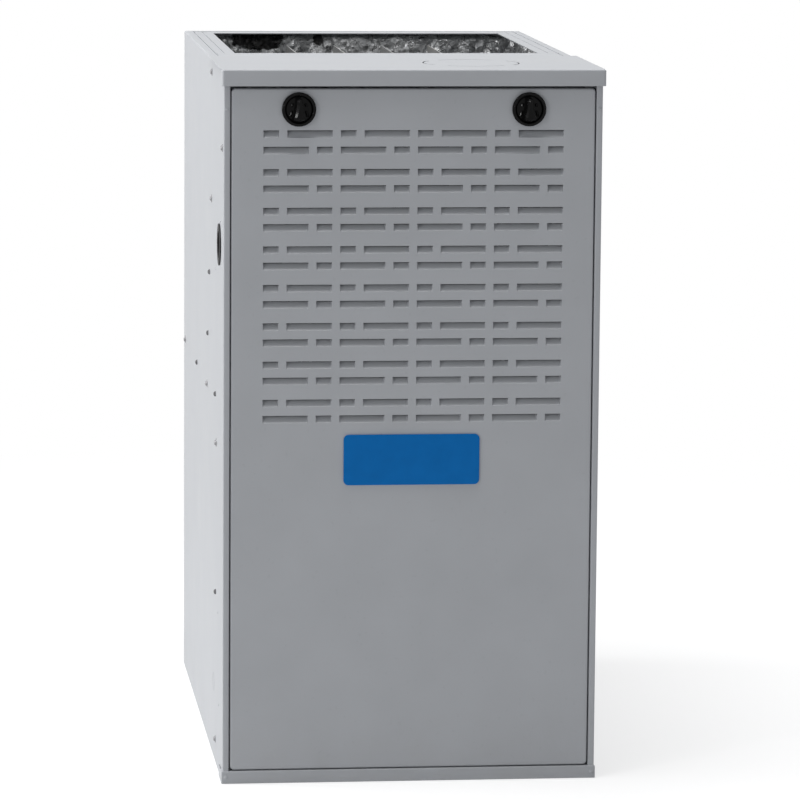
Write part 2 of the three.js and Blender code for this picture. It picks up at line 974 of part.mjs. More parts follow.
function burnerRack() {
  const floor = inletZ - rackDrop;
  const top = inletZ + rackRise;
  const wide = rackWidth / 2;
  const base = block(-wide, wide, rackFrontY, rackBackY, floor, floor + rackSheet);
  const front = block(-wide, wide, rackFrontY, rackFrontY + rackSheet, floor, top);
  const back = block(-wide, wide, rackBackY - rackSheet, rackBackY, floor, top);
  const ear = (x) =>
    block(x, x + rackSheet, rackFrontY, vestibuleDepth - seat, floor, top);
  const arm = (x) =>
    block(
      x,
      x + 2 * rackSheet,
      gasY - manifoldRadius - 4,
      rackFrontY + rackSheet,
      inletZ - manifoldRadius - 6,
      inletZ + manifoldRadius + 6,
    );
  const holes = [];
  for (let i = 0; i < cellCount; i++) {
    const seatRadius = burnerThroatRadius + 3 + seat;
    holes.push(
      rod("y", seatRadius, rackFrontY - 1, rackFrontY + 2, cellX(i), inletZ, 12),
      rod(
        "y",
        burnerHeadRadius + seat,
        rackBackY - 2,
        rackBackY + 1,
        cellX(i),
        inletZ,
        12,
      ),
    );
  }
  const pipeHole = rod(
    "x",
    manifoldRadius + seat,
    -wide - 5,
    wide + 5,
    gasY,
    inletZ,
    14,
  );
  const arms = cut(join(arm(-rackArmX), arm(rackArmX - 2 * rackSheet)), pipeHole);
  return join(
    cut(join(base, front, back), ...holes),
    ear(-wide),
    ear(wide - rackSheet),
    arms,
  );
}

// The pipe down from the valve and along the burners, with a boss for each orifice.
function gasManifold() {
  const top = gasZ - valveHeight / 2 - valvePortLength + 10;
  const drop = rod(
    "z",
    manifoldRadius,
    inletZ + manifoldBend,
    top,
    valveX,
    gasY,
    14,
  );
  const run = rod(
    "x",
    manifoldRadius,
    valveX + manifoldBend,
    rackArmX + 12,
    gasY,
    inletZ,
    14,
  );
  const section = new THREE.Shape();
  section.absarc(0, 0, manifoldRadius, 0, 2 * Math.PI, false);
  const cornerPath = new THREE.CatmullRomCurve3(
    [0, 1, 2, 3, 4].map((i) => {
      const angle = Math.PI + (i * Math.PI) / 8;
      return new THREE.Vector3(
        valveX + manifoldBend + manifoldBend * Math.cos(angle),
        gasY,
        inletZ + manifoldBend + manifoldBend * Math.sin(angle),
      );
    }),
  );
  const corner = solidOf(
    new THREE.ExtrudeGeometry(section, {
      steps: 6,
      extrudePath: cornerPath,
      curveSegments: 7,
    }),
  );
  const bosses = [];
  for (let i = 0; i < cellCount; i++)
    bosses.push(rod("y", spudRadius + 2, gasY, spudFront - seat, cellX(i), inletZ, 10));
  return join(drop, run, corner, ...bosses);
}

function orifice(x) {
  const tip = spudFront + spudLength;
  const hexEnd = spudFront + spudLength * 0.45;
  return join(
    rod("y", spudRadius, spudFront, hexEnd, x, inletZ, 6),
    rod("y", spudRadius * 0.55, spudFront, tip, x, inletZ, 10),
  );
}

function gasValve() {
  const x0 = valveX - valveWidth / 2;
  const x1 = valveX + valveWidth / 2;
  const y0 = gasY - valveDepth / 2;
  const y1 = gasY + valveDepth / 2;
  const z0 = gasZ - valveHeight / 2;
  const z1 = gasZ + valveHeight / 2;
  const body = block(x0 + 8, x1 - 8, y0 + 6, y1, z0, z1);
  const waist = block(x0, x1, y0 + 14, y1 - 8, z0 + 12, z1 - 12);
  const inlet = rod("x", valvePortRadius, x0 - valvePortLength, x0 + 10, gasY, gasZ, 8);
  const outlet = rod("z", valvePortRadius, z0 - valvePortLength, z0 + 2, valveX, gasY, 8);
  const coil = rod("y", 15, y0, y0 + 10, valveX + 16, gasZ + 16, 12);
  const pad = rod("y", valveKnobRadius + 3, y0 + 4, y0 + 8, valveX - 12, gasZ - 14, 14);
  const inletBore = rod(
    "x",
    valvePortBore,
    x0 - valvePortLength - 1,
    x0 + 6,
    gasY,
    gasZ,
    12,
  );
  const outletBore = rod(
    "z",
    manifoldRadius + seat,
    z0 - valvePortLength - 1,
    z0 - valvePortLength + 10 + seat,
    valveX,
    gasY,
    14,
  );
  return cut(join(body, waist, inlet, outlet, coil, pad), inletBore, outletBore);
}

function gasValveSwitch() {
  const front = valveKnobBack - valveKnobHeight;
  return join(
    rod(
      "y",
      valveKnobRadius,
      front + 5,
      valveKnobBack,
      valveKnobX,
      valveKnobZ,
      14,
    ),
    block(
      valveKnobX - 3,
      valveKnobX + 3,
      front,
      front + 6,
      valveKnobZ - valveKnobRadius + 1,
      valveKnobZ + valveKnobRadius - 1,
    ),
  );
}

function gasGrommet() {
  const inside = -half + sheet;
  return spin(
    "x",
    [
      [grommetBore, -half - 1.6],
      [gasHoleRadius + 3, -half - 1.6],
      [gasHoleRadius + 3, -half - seat],
      [gasHoleRadius - 1.3, -half - seat],
      [gasHoleRadius - 1.3, inside + seat],
      [gasHoleRadius + 2, inside + seat],
      [gasHoleRadius + 2, inside + 2],
      [grommetBore, inside + 2],
      [grommetBore, -half - 1.6],
    ],
    gasY,
    gasZ,
    16,
  );
}

function hotSurfaceIgniter() {
  const back = rackBackY - rackSheet - seat;
  const floor = inletZ - rackDrop + rackSheet + seat;
  return join(
    block(igniterX - 8, igniterX + 8, back - 34, back, floor, floor + 16),
    block(igniterX - 3, igniterX + 3, back - 3, back, floor, inletZ + 4),
    block(igniterX - 6, igniterX + 6, back - 30, back - 18, floor, floor + 24),
  );
}

function flameSensor() {
  const back = rackBackY - rackSheet - seat;
  const floor = inletZ - rackDrop + rackSheet + seat;
  return join(
    block(-igniterX - 6, -igniterX + 6, back - 26, back, floor, floor + 12),
    rod("z", 2.4, floor, inletZ + 6, -igniterX, back - 8, 8),
  );
}

function rolloutSwitch() {
  const front = rackFrontY;
  const x = rolloutX;
  const low = inletZ + rackRise + seat;
  const plate = block(x - 14, x + 14, front, front + 1.2, low, rolloutZ + 14);
  const body = cut(
    rod("y", 9, front - 12, front + 0.5, x, rolloutZ, 12),
    rod("y", 3.4, front - 13, front - 4, x, rolloutZ, 10),
  );
  return join(plate, body);
}

function rolloutResetButton() {
  return rod("y", 2.9, rackFrontY - 15, rackFrontY - 6.5, rolloutX, rolloutZ, 10);
}

function limitSwitch() {
  const back = vestibuleDepth - seat;
  const [w, h] = [limitPlateWidth / 2, limitPlateHeight / 2];
  return join(
    block(limitX - w, limitX + w, back - 1.5, back, limitZ - h, limitZ + h),
    rod("y", limitCapRadius, back - limitCapDepth, back, limitX, limitZ, 12),
    rod("y", limitProbeRadius, back - 1, panelBack + limitProbeReach, limitX, limitZ, 8),
  );
}

// ---------------------------------------------------------------- vent side
// The flared hood that gathers the cells' outlets into the inducer's inlet.
function collectorBox() {
  const wide = ((cellCount - 1) * cellPitch) / 2 + portRadius + collectorMargin;
  const back = vestibuleDepth - seat;
  const low = outletZ - collectorHeight / 2;
  const high = outletZ + collectorHeight / 2 - 6;
  const faceLow = inducerZ - collectorFaceHeight / 2;
  const faceHigh = inducerZ + collectorFaceHeight / 2;
  const faceHalf = inducerInletRadius + 12;
  const t = inducerSheet;
  const shell = cut(
    taper(
      collectorFront,
      [inducerX - faceHalf, inducerX + faceHalf, faceLow, faceHigh],
      back,
      [-wide, wide, low, high],
    ),
    taper(
      collectorFront + t,
      [inducerX - faceHalf + t, inducerX + faceHalf - t, faceLow + t, faceHigh - t],
      back + 1,
      [-wide + t, wide - t, low + t, high - t],
    ),
  );
  const rim = cut(
    block(-wide - 10, wide + 10, back - t, back, low - 8, high + 8),
    block(-wide + t, wide - t, back - t - 1, back + 1, low + t, high - t),
  );
  const inlet = rod(
    "y",
    inducerInletRadius,
    collectorFront - 1,
    collectorFront + t + 1,
    inducerX,
    inducerZ,
    18,
  );
  return join(cut(shell, inlet), cut(rim, shellCore(back, wide, low, high, t)));
}

// Room inside the hood, so that the rim does not close it.
function shellCore(back, wide, low, high, t) {
  return block(-wide + t, wide - t, back - 2 * t, back + 1, low + t, high - t);
}

// The inducer's scroll in (x, z): round the wheel and up to the outlet on the right.
function inducerPath(inset) {
  const steps = 18;
  const from = (60 * Math.PI) / 180;
  const to = 2 * Math.PI;
  const points = [];
  for (let i = 0; i <= steps; i++) {
    const angle = from + ((to - from) * i) / steps;
    const radius = inducerCutoff + ((inducerReach - inducerCutoff) * i) / steps - inset;
    points.push([
      inducerX + radius * Math.cos(angle),
      inducerZ + radius * Math.sin(angle),
    ]);
  }
  const top = inducerTop + (inset > 0 ? 1 : 0);
  const innerWall = points[0][0] + 2 * inset;
  const start = [innerWall, points[0][1] + inset];
  return [[innerWall, top], start, ...points.slice(1), [points[steps][0], top]];
}

function inducerHousing() {
  const t = inducerSheet;
  const outer = prism("y", outline(inducerPath(0)), inducerFront, inducerBack);
  const inner = prism("y", outline(inducerPath(t)), inducerFront + t, inducerBack - t);
  const inlet = rod(
    "y",
    inducerInletRadius,
    inducerBack - 2 * t,
    inducerBack + 1,
    inducerX,
    inducerZ,
    18,
  );
  const shaftHole = rod(
    "y",
    inducerShaft + 3,
    inducerFront - 1,
    inducerFront + 2 * t,
    inducerX,
    inducerZ,
    10,
  );
  const shell = cut(outer, inner, inlet, shaftHole);
  const [tapX, tapY, tapZ] = tapEnd;
  return join(shell, rod("x", 4, tapX - tapLength - 2, tapX, tapY, tapZ, 8));
}

function flueCollar() {
  const bottom = inducerTop + seat;
  const flange = block(
    ventX - collarRadius - 4,
    ventX + collarRadius + 4,
    ventY - collarRadius - 4,
    ventY + collarRadius + 4,
    bottom,
    bottom + collarSheet,
  );
  const tube = rod("z", collarRadius, bottom, bottom + collarHeight, ventX, ventY, 24);
  const bore = rod(
    "z",
    collarRadius - collarSheet,
    bottom + collarSheet + 1,
    bottom + collarHeight + 1,
    ventX,
    ventY,
    24,
  );
  const throat = block(
    ventX - inducerWidth / 2,
    ventX + inducerWidth / 2,
    ventY - inducerWidth / 2 + 3,
    ventY + inducerWidth / 2 - 3,
    bottom - 1,
    bottom + collarHeight,
  );
  return cut(join(flange, tube), bore, throat);
}

function inducerMotor() {
  const back = inducerFront - seat;
  const front = back - inducerMotorDepth;
  const s = inducerMotorSize / 2;
  const core = block(
    inducerX - s,
    inducerX + s,
    front + 12,
    back - 12,
    inducerZ - s,
    inducerZ + s * 0.7,
  );
  const bell = rod("y", 24, front, back - 6, inducerX, inducerZ, 14);
  const coil = rod(
    "x",
    15,
    inducerX - s + 12,
    inducerX + s - 12,
    (front + back) / 2,
    inducerZ - s - 4,
    12,
  );
  const leg = (dx, dz) =>
    rod("y", 3.5, front + 14, back, inducerX + dx, inducerZ + dz, 8);
  const bore = rod(
    "y",
    inducerShaft + 0.6,
    front - 1,
    back + 1,
    inducerX,
    inducerZ,
    10,
  );
  const reach = s - 8;
  return cut(
    join(
      core,
      bell,
      coil,
      leg(-reach, -reach),
      leg(reach, -reach),
      leg(-reach, reach * 0.7),
      leg(reach, reach * 0.7),
    ),
    bore,
  );
}

function inducerWheel() {
  const middle = (inducerFront + inducerBack) / 2;
  const y0 = middle - inducerWheelWidth / 2;
  const y1 = middle + inducerWheelWidth / 2;
  const disc = rod("y", inducerWheelRadius, y0, y0 + 2, inducerX, inducerZ, 20);
  const hub = rod("y", 11, y0, y0 + 16, inducerX, inducerZ, 10);
  const shaftFront = inducerFront - seat - inducerMotorDepth + 4;
  const shaft = rod("y", inducerShaft, shaftFront, y0 + 14, inducerX, inducerZ, 10);
  const blades = [];
  const count = 12;
  for (let i = 0; i < count; i++) {
    const blade = block(24, inducerWheelRadius - 1, y0 + 1, y1, -0.9, 0.9);
    blades.push(
      blade.rotate([0, (360 / count) * i, 0]).translate([inducerX, 0, inducerZ]),
    );
  }
  return join(disc, hub, shaft, ...blades);
}

function pressureSwitch() {
  const back = vestibuleDepth - seat;
  const [x, z] = [pressureX, pressureZ];
  const w = pressureBracket / 2;
  const low = z - pressureBracketDrop;
  const face = pressureFront + pressureTapReach - 1;
  const [dx, dz] = pressureTap;
  return join(
    block(x - w, x + w, back - 1.5, back, low, low + pressureBracket),
    rod("y", pressureSwitchRadius, face, back - pressureTapReach + 1, x, z, 20),
    rod("y", pressureHub, face, back, x, z, 12),
    rod("y", pressureTapRadius, pressureFront, face + 1, x + dx, z + dz, 8),
  );
}

function pressureHose() {
  const [dx, dz] = pressureTap;
  const start = [pressureX + dx, pressureFront - seat, pressureZ + dz];
  const end = [tapEnd[0] + seat, tapEnd[1], tapEnd[2]];
  return cable(
    [
      start,
      [start[0], start[1] - 12, start[2]],
      [start[0] + 8, start[1] - hoseReach, start[2] + hoseRise],
      [end[0] + 34, end[1] + hoseRise, end[2] - 20],
      [end[0] + 12, end[1], end[2]],
      end,
    ],
    4,
    22,
    4,
  );
}

// ---------------------------------------------------------------- blower
function blowerWrap() {
  return prism(
    "x",
    bentSheet(scrollPath(scrollTop), blowerSheet),
    -wheelGap + seat,
    wheelGap - seat,
  );
}

// One cheek of the scroll, with its rolled inlet.
function blowerSide(side) {
  const path = scrollPath(scrollTop);
  const rim = bentSheet(path, blowerSheet);
  const all = rim.getPoints().map((p) => [p.x, p.y]);
  const outer = all.slice(path.length).reverse();
  const x0 = side < 0 ? -blowerHalf : wheelGap;
  const cheek = prism("x", outline(outer), x0, x0 + blowerSheet);
  const bellInner = side * (blowerHalf - bellDepth);
  const bellOuter = side * blowerHalf;
  const [b0, b1] = [bellInner, bellOuter].sort((a, b) => a - b);
  const bell = rod("x", inletRadius + 4, b0, b1, blowerY, blowerAxisHeight, 24);
  const bore = rod(
    "x",
    inletRadius,
    b0 - 1,
    b1 + 1,
    blowerY,
    blowerAxisHeight,
    24,
  );
  return cut(join(cheek, bell), bore);
}

function blowerWheel() {
  const ring = (x0) =>
    cut(
      rod("x", wheelRadius, x0, x0 + 4, 0, 0, 24),
      rod("x", wheelRadius - bladeDepth + 3, x0 - 1, x0 + 5, 0, 0, 24),
    );
  const blades = [];
  for (let i = 0; i < bladeCount; i++) {
    const blade = block(
      -wheelHalf + 1,
      wheelHalf - 1,
      wheelRadius - bladeDepth,
      wheelRadius - 1,
      -bladeSheet / 2,
      bladeSheet / 2,
    );
    blades.push(blade.rotate([(360 / bladeCount) * i, 0, 0]));
  }
  const rims = [ring(-wheelHalf), ring(wheelHalf - 4)];
  return join(...rims, ...blades).translate([0, blowerY, blowerAxisHeight]);
}

// The plate in the middle of the wheel, with its hub and the shaft into the motor.
function blowerWheelPlate() {
  const radius = wheelRadius - bladeDepth - seat;
  return join(
    rod("x", radius, -1, 1, 0, 0, 24),
    rod("x", hubRadius, -hubLength, 1, 0, 0, 12),
    rod("x", shaftRadius, -hubLength - shaftRunning, motorInner + shaftEngage, 0, 0, 10),
  ).translate([0, blowerY, blowerAxisHeight]);
}

function blowerMotor() {
  const x0 = motorInner;
  const x1 = motorInner + motorLength;
  const r = motorRadius;
  const shell = spin(
    "x",
    [
      [0, x0],
      [r * 0.5, x0],
      [r - 8, x0 + 8],
      [r, x0 + 12],
      [r, x1 - 12],
      [r - 8, x1 - 8],
      [r * 0.5, x1],
      [0, x1],
    ],
    blowerY,
    blowerAxisHeight,
    20,
  );
  const bore = rod(
    "x",
    shaftRadius + 0.6,
    x0 - 1,
    x0 + shaftEngage + shaftRunning,
    blowerY,
    blowerAxisHeight,
    10,
  );
  return cut(shell, bore);
}

// The band round the motor and its arms to the right cheek.
function motorMount() {
  const face = blowerHalf + seat;
  const inner = motorRadius + seat;
  const band = cut(
    rod("x", inner + bandSheet, face - bandWidth + 4, face + 4, 0, 0, 20),
    rod("x", inner, face - bandWidth, face + 5, 0, 0, 20),
  );
  const arms = [];
  for (let i = 0; i < armCount; i++) {
    const arm = block(
      face,
      face + 3,
      inner + bandSheet - 1,
      inletRadius + 16,
      -armWidth / 2,
      armWidth / 2,
    );
    arms.push(arm.rotate([(360 / armCount) * i + 30, 0, 0]));
  }
  return join(band, ...arms).translate([0, blowerY, blowerAxisHeight]);
}

function runCapacitor() {
  const right = -blowerHalf - seat;
  const y = outletFront + capacitorSetback;
  const z = deckUnder - capacitorDrop;
  const can = rod("x", capacitorRadius, right - capacitorLength, right, y, z, 16);
  const terminals = block(
    right - capacitorLength - capacitorTab,
    right - capacitorLength + 1,
    y - 9,
    y + 9,
    z - 2,
    z + 2,
  );
  return join(can, terminals);
}

// ---------------------------------------------------------------- controls
function accessDoor() {
  return block(
    -accessHalf,
    accessHalf,
    accessFront,
    accessBack,
    doorBottom + 1,
    accessTop,
  );
}

function controlBox() {
  return cut(
    block(trayLeft, trayRight, controlY, trayBack, trayBottom, trayTop),
    block(
      trayLeft + sheet,
      trayRight - sheet,
      controlY - 1,
      trayBack - sheet,
      trayBottom + sheet,
      trayTop - sheet,
    ),
  );
}

function controlBoard() {
  const x0 = trayLeft + boardMargin;
  const z0 = trayBottom + boardRise;
  const x1 = x0 + boardWidth;
  const z1 = z0 + boardHeight;
  const back = trayBack - sheet - seat;
  const face = back - 8;
  const post = (x, z) => rod("y", 3, face, back, x, z, 6);
  const relay = (i) => {
    const x = x0 + boardEdge + i * relayPitch;
    const z = z0 + boardEdge;
    return block(x, x + relaySize[0], face - relaySize[1], face - 1, z, z + relaySize[1]);
  };
  const [stripLength, stripHeight] = terminalStrip;
  const stripX = x0 + boardEdge;
  const stripZ = z1 - boardEdge - stripHeight;
  return join(
    block(x0, x1, face - 1.6, face, z0, z1),
    post(x0 + 6, z0 + 6),
    post(x1 - 6, z0 + 6),
    post(x0 + 6, z1 - 6),
    post(x1 - 6, z1 - 6),
    relay(0),
    relay(1),
    relay(2),
    block(stripX, stripX + stripLength, face - stripHeight, face - 1, stripZ, stripZ + stripHeight),
    block(x1 - 26, x1 - 12, face - 12, face - 1, z0 + 40, z1 - 24),
  );
}

function transformer() {
  const x0 = trayLeft + boardMargin + boardWidth + transformerGap;
  const x1 = x0 + coreWidth;
  const z0 = trayBottom + transformerRise;
  const z1 = z0 + coreHeight;
  const back = trayBack - sheet - seat;
  const coreBack = back - coreStandOff;
  const [insetX, insetZ] = windingInset;
  return join(
    block(x0, x1, coreBack - coreDepth, coreBack, z0, z1),
    block(x0 + insetX, x1 - insetX, back - windingDepth, back, z0 + insetZ, z1 - insetZ),
    block(x0 + coreFoot, x1 - coreFoot, coreBack - 1, back, z0 + coreFoot, z0 + 2 * coreFoot),
  );
}

function interlockSwitch() {
  const front = behindLedge + deckSheet + seat;
  const body = block(
    interlockX - 12,
    interlockX + 12,
    front,
    front + interlockBody,
    interlockZ - 8,
    interlockZ + 8,
  );
  return cut(
    body,
    rod("y", plungerRadius + seat, front - 1, front + 16, interlockX, interlockZ, 12),
  );
}

function interlockPlunger() {
  const tip = accessBack + seat;
  return rod(
    "y",
    plungerRadius,
    tip,
    behindLedge + deckSheet + 12,
    interlockX,
    interlockZ,
    12,
  );
}

function wiringHarness() {
  const start = [trayLeft + 30, trayBack + seat + 1, trayTop - 40];
  const end = [valveX - 16, gasY + valveDepth / 2 + seat, gasZ - 10];
  return cable(
    [
      start,
      [start[0], start[1] + 14, start[2]],
      [harnessX + 20, harnessY + 10, deckUnder - 32],
      [harnessX, harnessY, deckUnder - 8],
      [harnessX, harnessY, deckHeight + 14],
      [harnessX, harnessY + harnessBend, deckHeight + harnessClimb],
      [harnessX + 4, harnessY + harnessBend + 2, gasZ - harnessApproach],
      [end[0], end[1] + 26, end[2]],
      end,
    ],
    harnessRadius,
    24,
    4,
  );
}

// ---------------------------------------------------------------- assembly
add("casing_wrapper", casingWrapper(), paleGrey);
add("top_plate", topPlate(), paleGrey);
add("bottom_rail", bottomRail(), doorGrey);
add("rail_screw_left", railScrew(-1), doorGrey);
add("rail_screw_right", railScrew(1), doorGrey);
add("base_pan", basePan(), galvanised);
add("strike_channel", strikeChannel(), galvanised);
add("blower_deck", blowerDeck(), galvanised);
add("cell_panel", cellPanel(), galvanised);
add("insulation_left", sideLining(-1), foil);
add("insulation_right", sideLining(1), foil);
add("insulation_back", backLining(), foil);

for (let i = 0; i < cellCount; i++) {
  add(`heat_exchanger_cell_${i + 1}`, exchangerCell(cellX(i)), aluminised);
  add(`burner_${i + 1}`, burner(cellX(i)), aluminised);
  add(`orifice_${i + 1}`, orifice(cellX(i)), brass);
}

add("burner_rack", burnerRack(), galvanised);
add("gas_manifold", gasManifold(), blackSteel);
add("gas_valve", gasValve(), castGrey);
add("gas_valve_switch", gasValveSwitch(), blackPlastic);
add("gas_grommet", gasGrommet(), rubber);
add("hot_surface_igniter", hotSurfaceIgniter(), ceramic);
add("flame_sensor", flameSensor(), ceramic);
add("rollout_switch", rolloutSwitch(), blackPlastic);
add("rollout_reset_button", rolloutResetButton(), redPlastic);
add("limit_switch", limitSwitch(), blackPlastic);

add("collector_box", collectorBox(), aluminised);
add("inducer_housing", inducerHousing(), aluminised);
add("inducer_motor", inducerMotor(), blackSteel);
add("inducer_wheel", inducerWheel(), aluminised);
add("flue_collar", flueCollar(), galvanised);
add("pressure_switch", pressureSwitch(), blackPlastic);
add("pressure_hose", pressureHose(), rubber);

add("blower_scroll_wrap", blowerWrap(), galvanised);
add("blower_side_left", blowerSide(-1), galvanised);
add("blower_side_right", blowerSide(1), galvanised);
add("blower_wheel", blowerWheel(), galvanised);
add("blower_wheel_plate", blowerWheelPlate(), galvanised);
add("blower_motor", blowerMotor(), blackSteel);
add("motor_mount", motorMount(), galvanised);
add("run_capacitor", runCapacitor(), aluminised);

add("blower_access_door", accessDoor(), galvanised);
add("control_box", controlBox(), galvanised);
add("control_board", controlBoard(), boardGreen);
add("transformer", transformer(), blackSteel);
add("interlock_switch", interlockSwitch(), blackPlastic);
add("interlock_plunger", interlockPlunger(), redPlastic);
add("wiring_harness", wiringHarness(), rubber);

add("outer_door", outerDoor(), doorGrey);
add("badge_plate", badgePlate(), badgeBlue);
add("knob_left", doorKnob(-knobReach), blackPlastic);
add("knob_right", doorKnob(knobReach), blackPlastic);

export default furnace;
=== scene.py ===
"""A forced air gas furnace: every visible surface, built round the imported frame.

Metres, +X to the right, +Y from the door into the depth, +Z up. Shapes are surfaces worked out
on grids of points; finishes are procedural and read Object coordinates.
"""

import json
import math

import bmesh
import bpy
import numpy as np
from mathutils import Matrix, Vector

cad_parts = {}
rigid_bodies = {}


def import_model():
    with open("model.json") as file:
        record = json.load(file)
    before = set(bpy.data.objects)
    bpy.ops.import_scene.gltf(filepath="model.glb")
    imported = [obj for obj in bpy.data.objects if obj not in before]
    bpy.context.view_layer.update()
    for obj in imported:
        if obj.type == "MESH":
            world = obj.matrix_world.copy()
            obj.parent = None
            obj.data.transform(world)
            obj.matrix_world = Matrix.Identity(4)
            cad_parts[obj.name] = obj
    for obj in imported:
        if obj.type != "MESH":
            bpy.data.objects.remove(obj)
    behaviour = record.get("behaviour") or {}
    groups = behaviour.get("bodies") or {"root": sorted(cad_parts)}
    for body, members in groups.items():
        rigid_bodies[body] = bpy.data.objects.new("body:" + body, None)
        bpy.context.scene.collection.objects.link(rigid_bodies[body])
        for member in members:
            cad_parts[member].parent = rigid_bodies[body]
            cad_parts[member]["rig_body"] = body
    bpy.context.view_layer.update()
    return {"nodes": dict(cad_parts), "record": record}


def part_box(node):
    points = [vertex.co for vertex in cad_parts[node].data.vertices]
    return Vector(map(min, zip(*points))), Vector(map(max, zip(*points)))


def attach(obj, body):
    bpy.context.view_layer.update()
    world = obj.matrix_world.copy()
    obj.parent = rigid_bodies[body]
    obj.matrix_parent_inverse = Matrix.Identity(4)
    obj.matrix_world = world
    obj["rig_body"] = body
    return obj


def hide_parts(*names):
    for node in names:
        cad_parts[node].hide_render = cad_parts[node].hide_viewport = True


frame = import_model()

mm = 0.001
SHEET = 1.0 * mm
BEND = 1.6 * mm  # outer radius of a folded sheet
MERGE = 0.004 * mm  # points nearer than this are one point
SLIVER = 0.003 * mm  # edges shorter than this go
SOFT = math.radians(40)  # faces that meet at less are shaded as one
SHOWN = ("cell_panel", "blower_wheel")  # CAD nodes that show as they are
stood_for = set(SHOWN)  # these, and the nodes that a piece replaces


# ---- places from the frame
def spans(node):
    """A node's (lowest, highest) coordinates along x, y and z."""
    return tuple(zip(*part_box(node)))


def centre_of(node):
    """The middle of a node's box."""
    return [(low + high) / 2 for low, high in spans(node)]


CASING_X, CASING_Y, CASING_Z = spans("casing_wrapper")
DOOR_X, DOOR_Y, DOOR_Z = spans("outer_door")
PLATE_X, PLATE_Y, PLATE_Z = spans("top_plate")
RAIL_X, RAIL_Y, RAIL_Z = spans("bottom_rail")
FRONT = CASING_Y[0]
HALF = CASING_X[1]
KNOB_Z = centre_of("knob_left")[2]
GAS_Y, GAS_Z = centre_of("gas_grommet")[1:]
VENT = centre_of("flue_collar")[:2]


def behind(distance):
    """The y of a point that many metres behind the casing's front plane."""
    return FRONT + distance


# ---- meshes from grids
def quads(rows, columns, close_columns=False, keep=None, flip=False):
    """The four-cornered faces of a grid of points, whose rows can be closed into rings."""
    c = np.arange(columns if close_columns else columns - 1)
    i, j = np.meshgrid(np.arange(rows - 1), c, indexing="ij")
    i2, j2 = i + 1, (j + 1) % columns
    faces = np.stack([i * columns + j, i2 * columns + j, i2 * columns + j2, i * columns + j2], -1)
    faces = faces[keep] if keep is not None else faces.reshape(-1, 4)
    return faces[:, ::-1] if flip else faces


def patch(points, **how):
    """A grid of points of shape (rows, columns, 3) as (points, faces)."""
    points = np.asarray(points, float)
    return points.reshape(-1, 3), quads(points.shape[0], points.shape[1], **how)


def repeated(shape, places):
    """Copies of one (points, faces) moved to each place, as one (points, faces)."""
    points, faces = shape
    places = np.asarray(places, float)
    moved = points[None] + places[:, None, :]
    shift = (np.arange(len(places)) * len(points))[:, None, None]
    return moved.reshape(-1, 3), (faces[None] + shift).reshape(-1, 4)


def linked(name, data):
    """A new object of that data, in the scene."""
    item = bpy.data.objects.new(name, data)
    bpy.context.scene.collection.objects.link(item)
    return item


def piece(name, parts, body, slot, replaced=(), thickness=0.0, closed=False, smooth=SOFT,
          material=None):
    """One object from several (points, faces). Doubles are merged; a sheet gets its thickness
    inwards; a closed shell has its faces turned outwards."""
    points = np.concatenate([p for p, _ in parts])
    starts = np.cumsum([0] + [len(p) for p, _ in parts[:-1]])
    faces = np.concatenate([f + s for (_, f), s in zip(parts, starts)])
    mesh = bpy.data.meshes.new(name)
    mesh.vertices.add(len(points))
    mesh.vertices.foreach_set("co", points.astype(np.float32).ravel())
    mesh.loops.add(faces.size)
    mesh.loops.foreach_set("vertex_index", faces.astype(np.int32).ravel())
    mesh.polygons.add(len(faces))
    mesh.polygons.foreach_set("loop_start", np.arange(0, faces.size, 4, dtype=np.int32))
    mesh.polygons.foreach_set("loop_total", np.full(len(faces), 4, np.int32))
    mesh.update(calc_edges=True)
    mesh.validate()
    work = bmesh.new()
    work.from_mesh(mesh)
    bmesh.ops.remove_doubles(work, verts=work.verts, dist=MERGE)
    bmesh.ops.dissolve_degenerate(work, edges=work.edges, dist=SLIVER)
    if closed:
        bmesh.ops.recalc_face_normals(work, faces=work.faces)
        if work.calc_volume(signed=True) < 0:
            bmesh.ops.reverse_faces(work, faces=work.faces)
    work.to_mesh(mesh)
    work.free()
    return dressed(linked(name, mesh), body, slot, replaced, thickness, smooth, material)


def crisp_borders(mesh):
    """Marks the open edges of a sheet sharp, so that its wall's rim doesn't shade the faces."""
    used = np.zeros(len(mesh.loops), np.int32)
    mesh.loops.foreach_get("edge_index", used)
    border = np.bincount(used, minlength=len(mesh.edges)) == 1
    sharp = np.zeros(len(mesh.edges), bool)
    mesh.edges.foreach_get("use_edge_sharp", sharp)
    mesh.edges.foreach_set("use_edge_sharp", sharp | border)


def dressed(item, body, slot, replaced=(), thickness=0.0, smooth=SOFT, material=None):
    """Gives an object its wall, soft shading up to an angle and its body, and its own material or
    else that of its slot."""
    if thickness:
        wall = item.modifiers.new("wall", "SOLIDIFY")
        wall.thickness = thickness
        wall.offset = -1
        wall.use_even_offset = False
    mesh = item.data
    mesh.polygons.foreach_set("use_smooth", np.ones(len(mesh.polygons), bool))
    mesh.set_sharp_from_angle(angle=smooth)
    crisp_borders(mesh)
    mesh.materials.clear()
    mesh.materials.append(SLOT_MATERIAL[slot] if material is None else material)
    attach(item, body)
    if replaced:
        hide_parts(*replaced)
        stood_for.update(replaced)
    return item


EASE_WIDTH = 0.4 * mm
EASE_MERGE = 0.01 * mm
EASE_FLAT = math.radians(1)  # faces that meet at less are one face
EASE_FROM = math.radians(50)  # edges sharper than this are rounded
EASE_SOFT = math.radians(44)


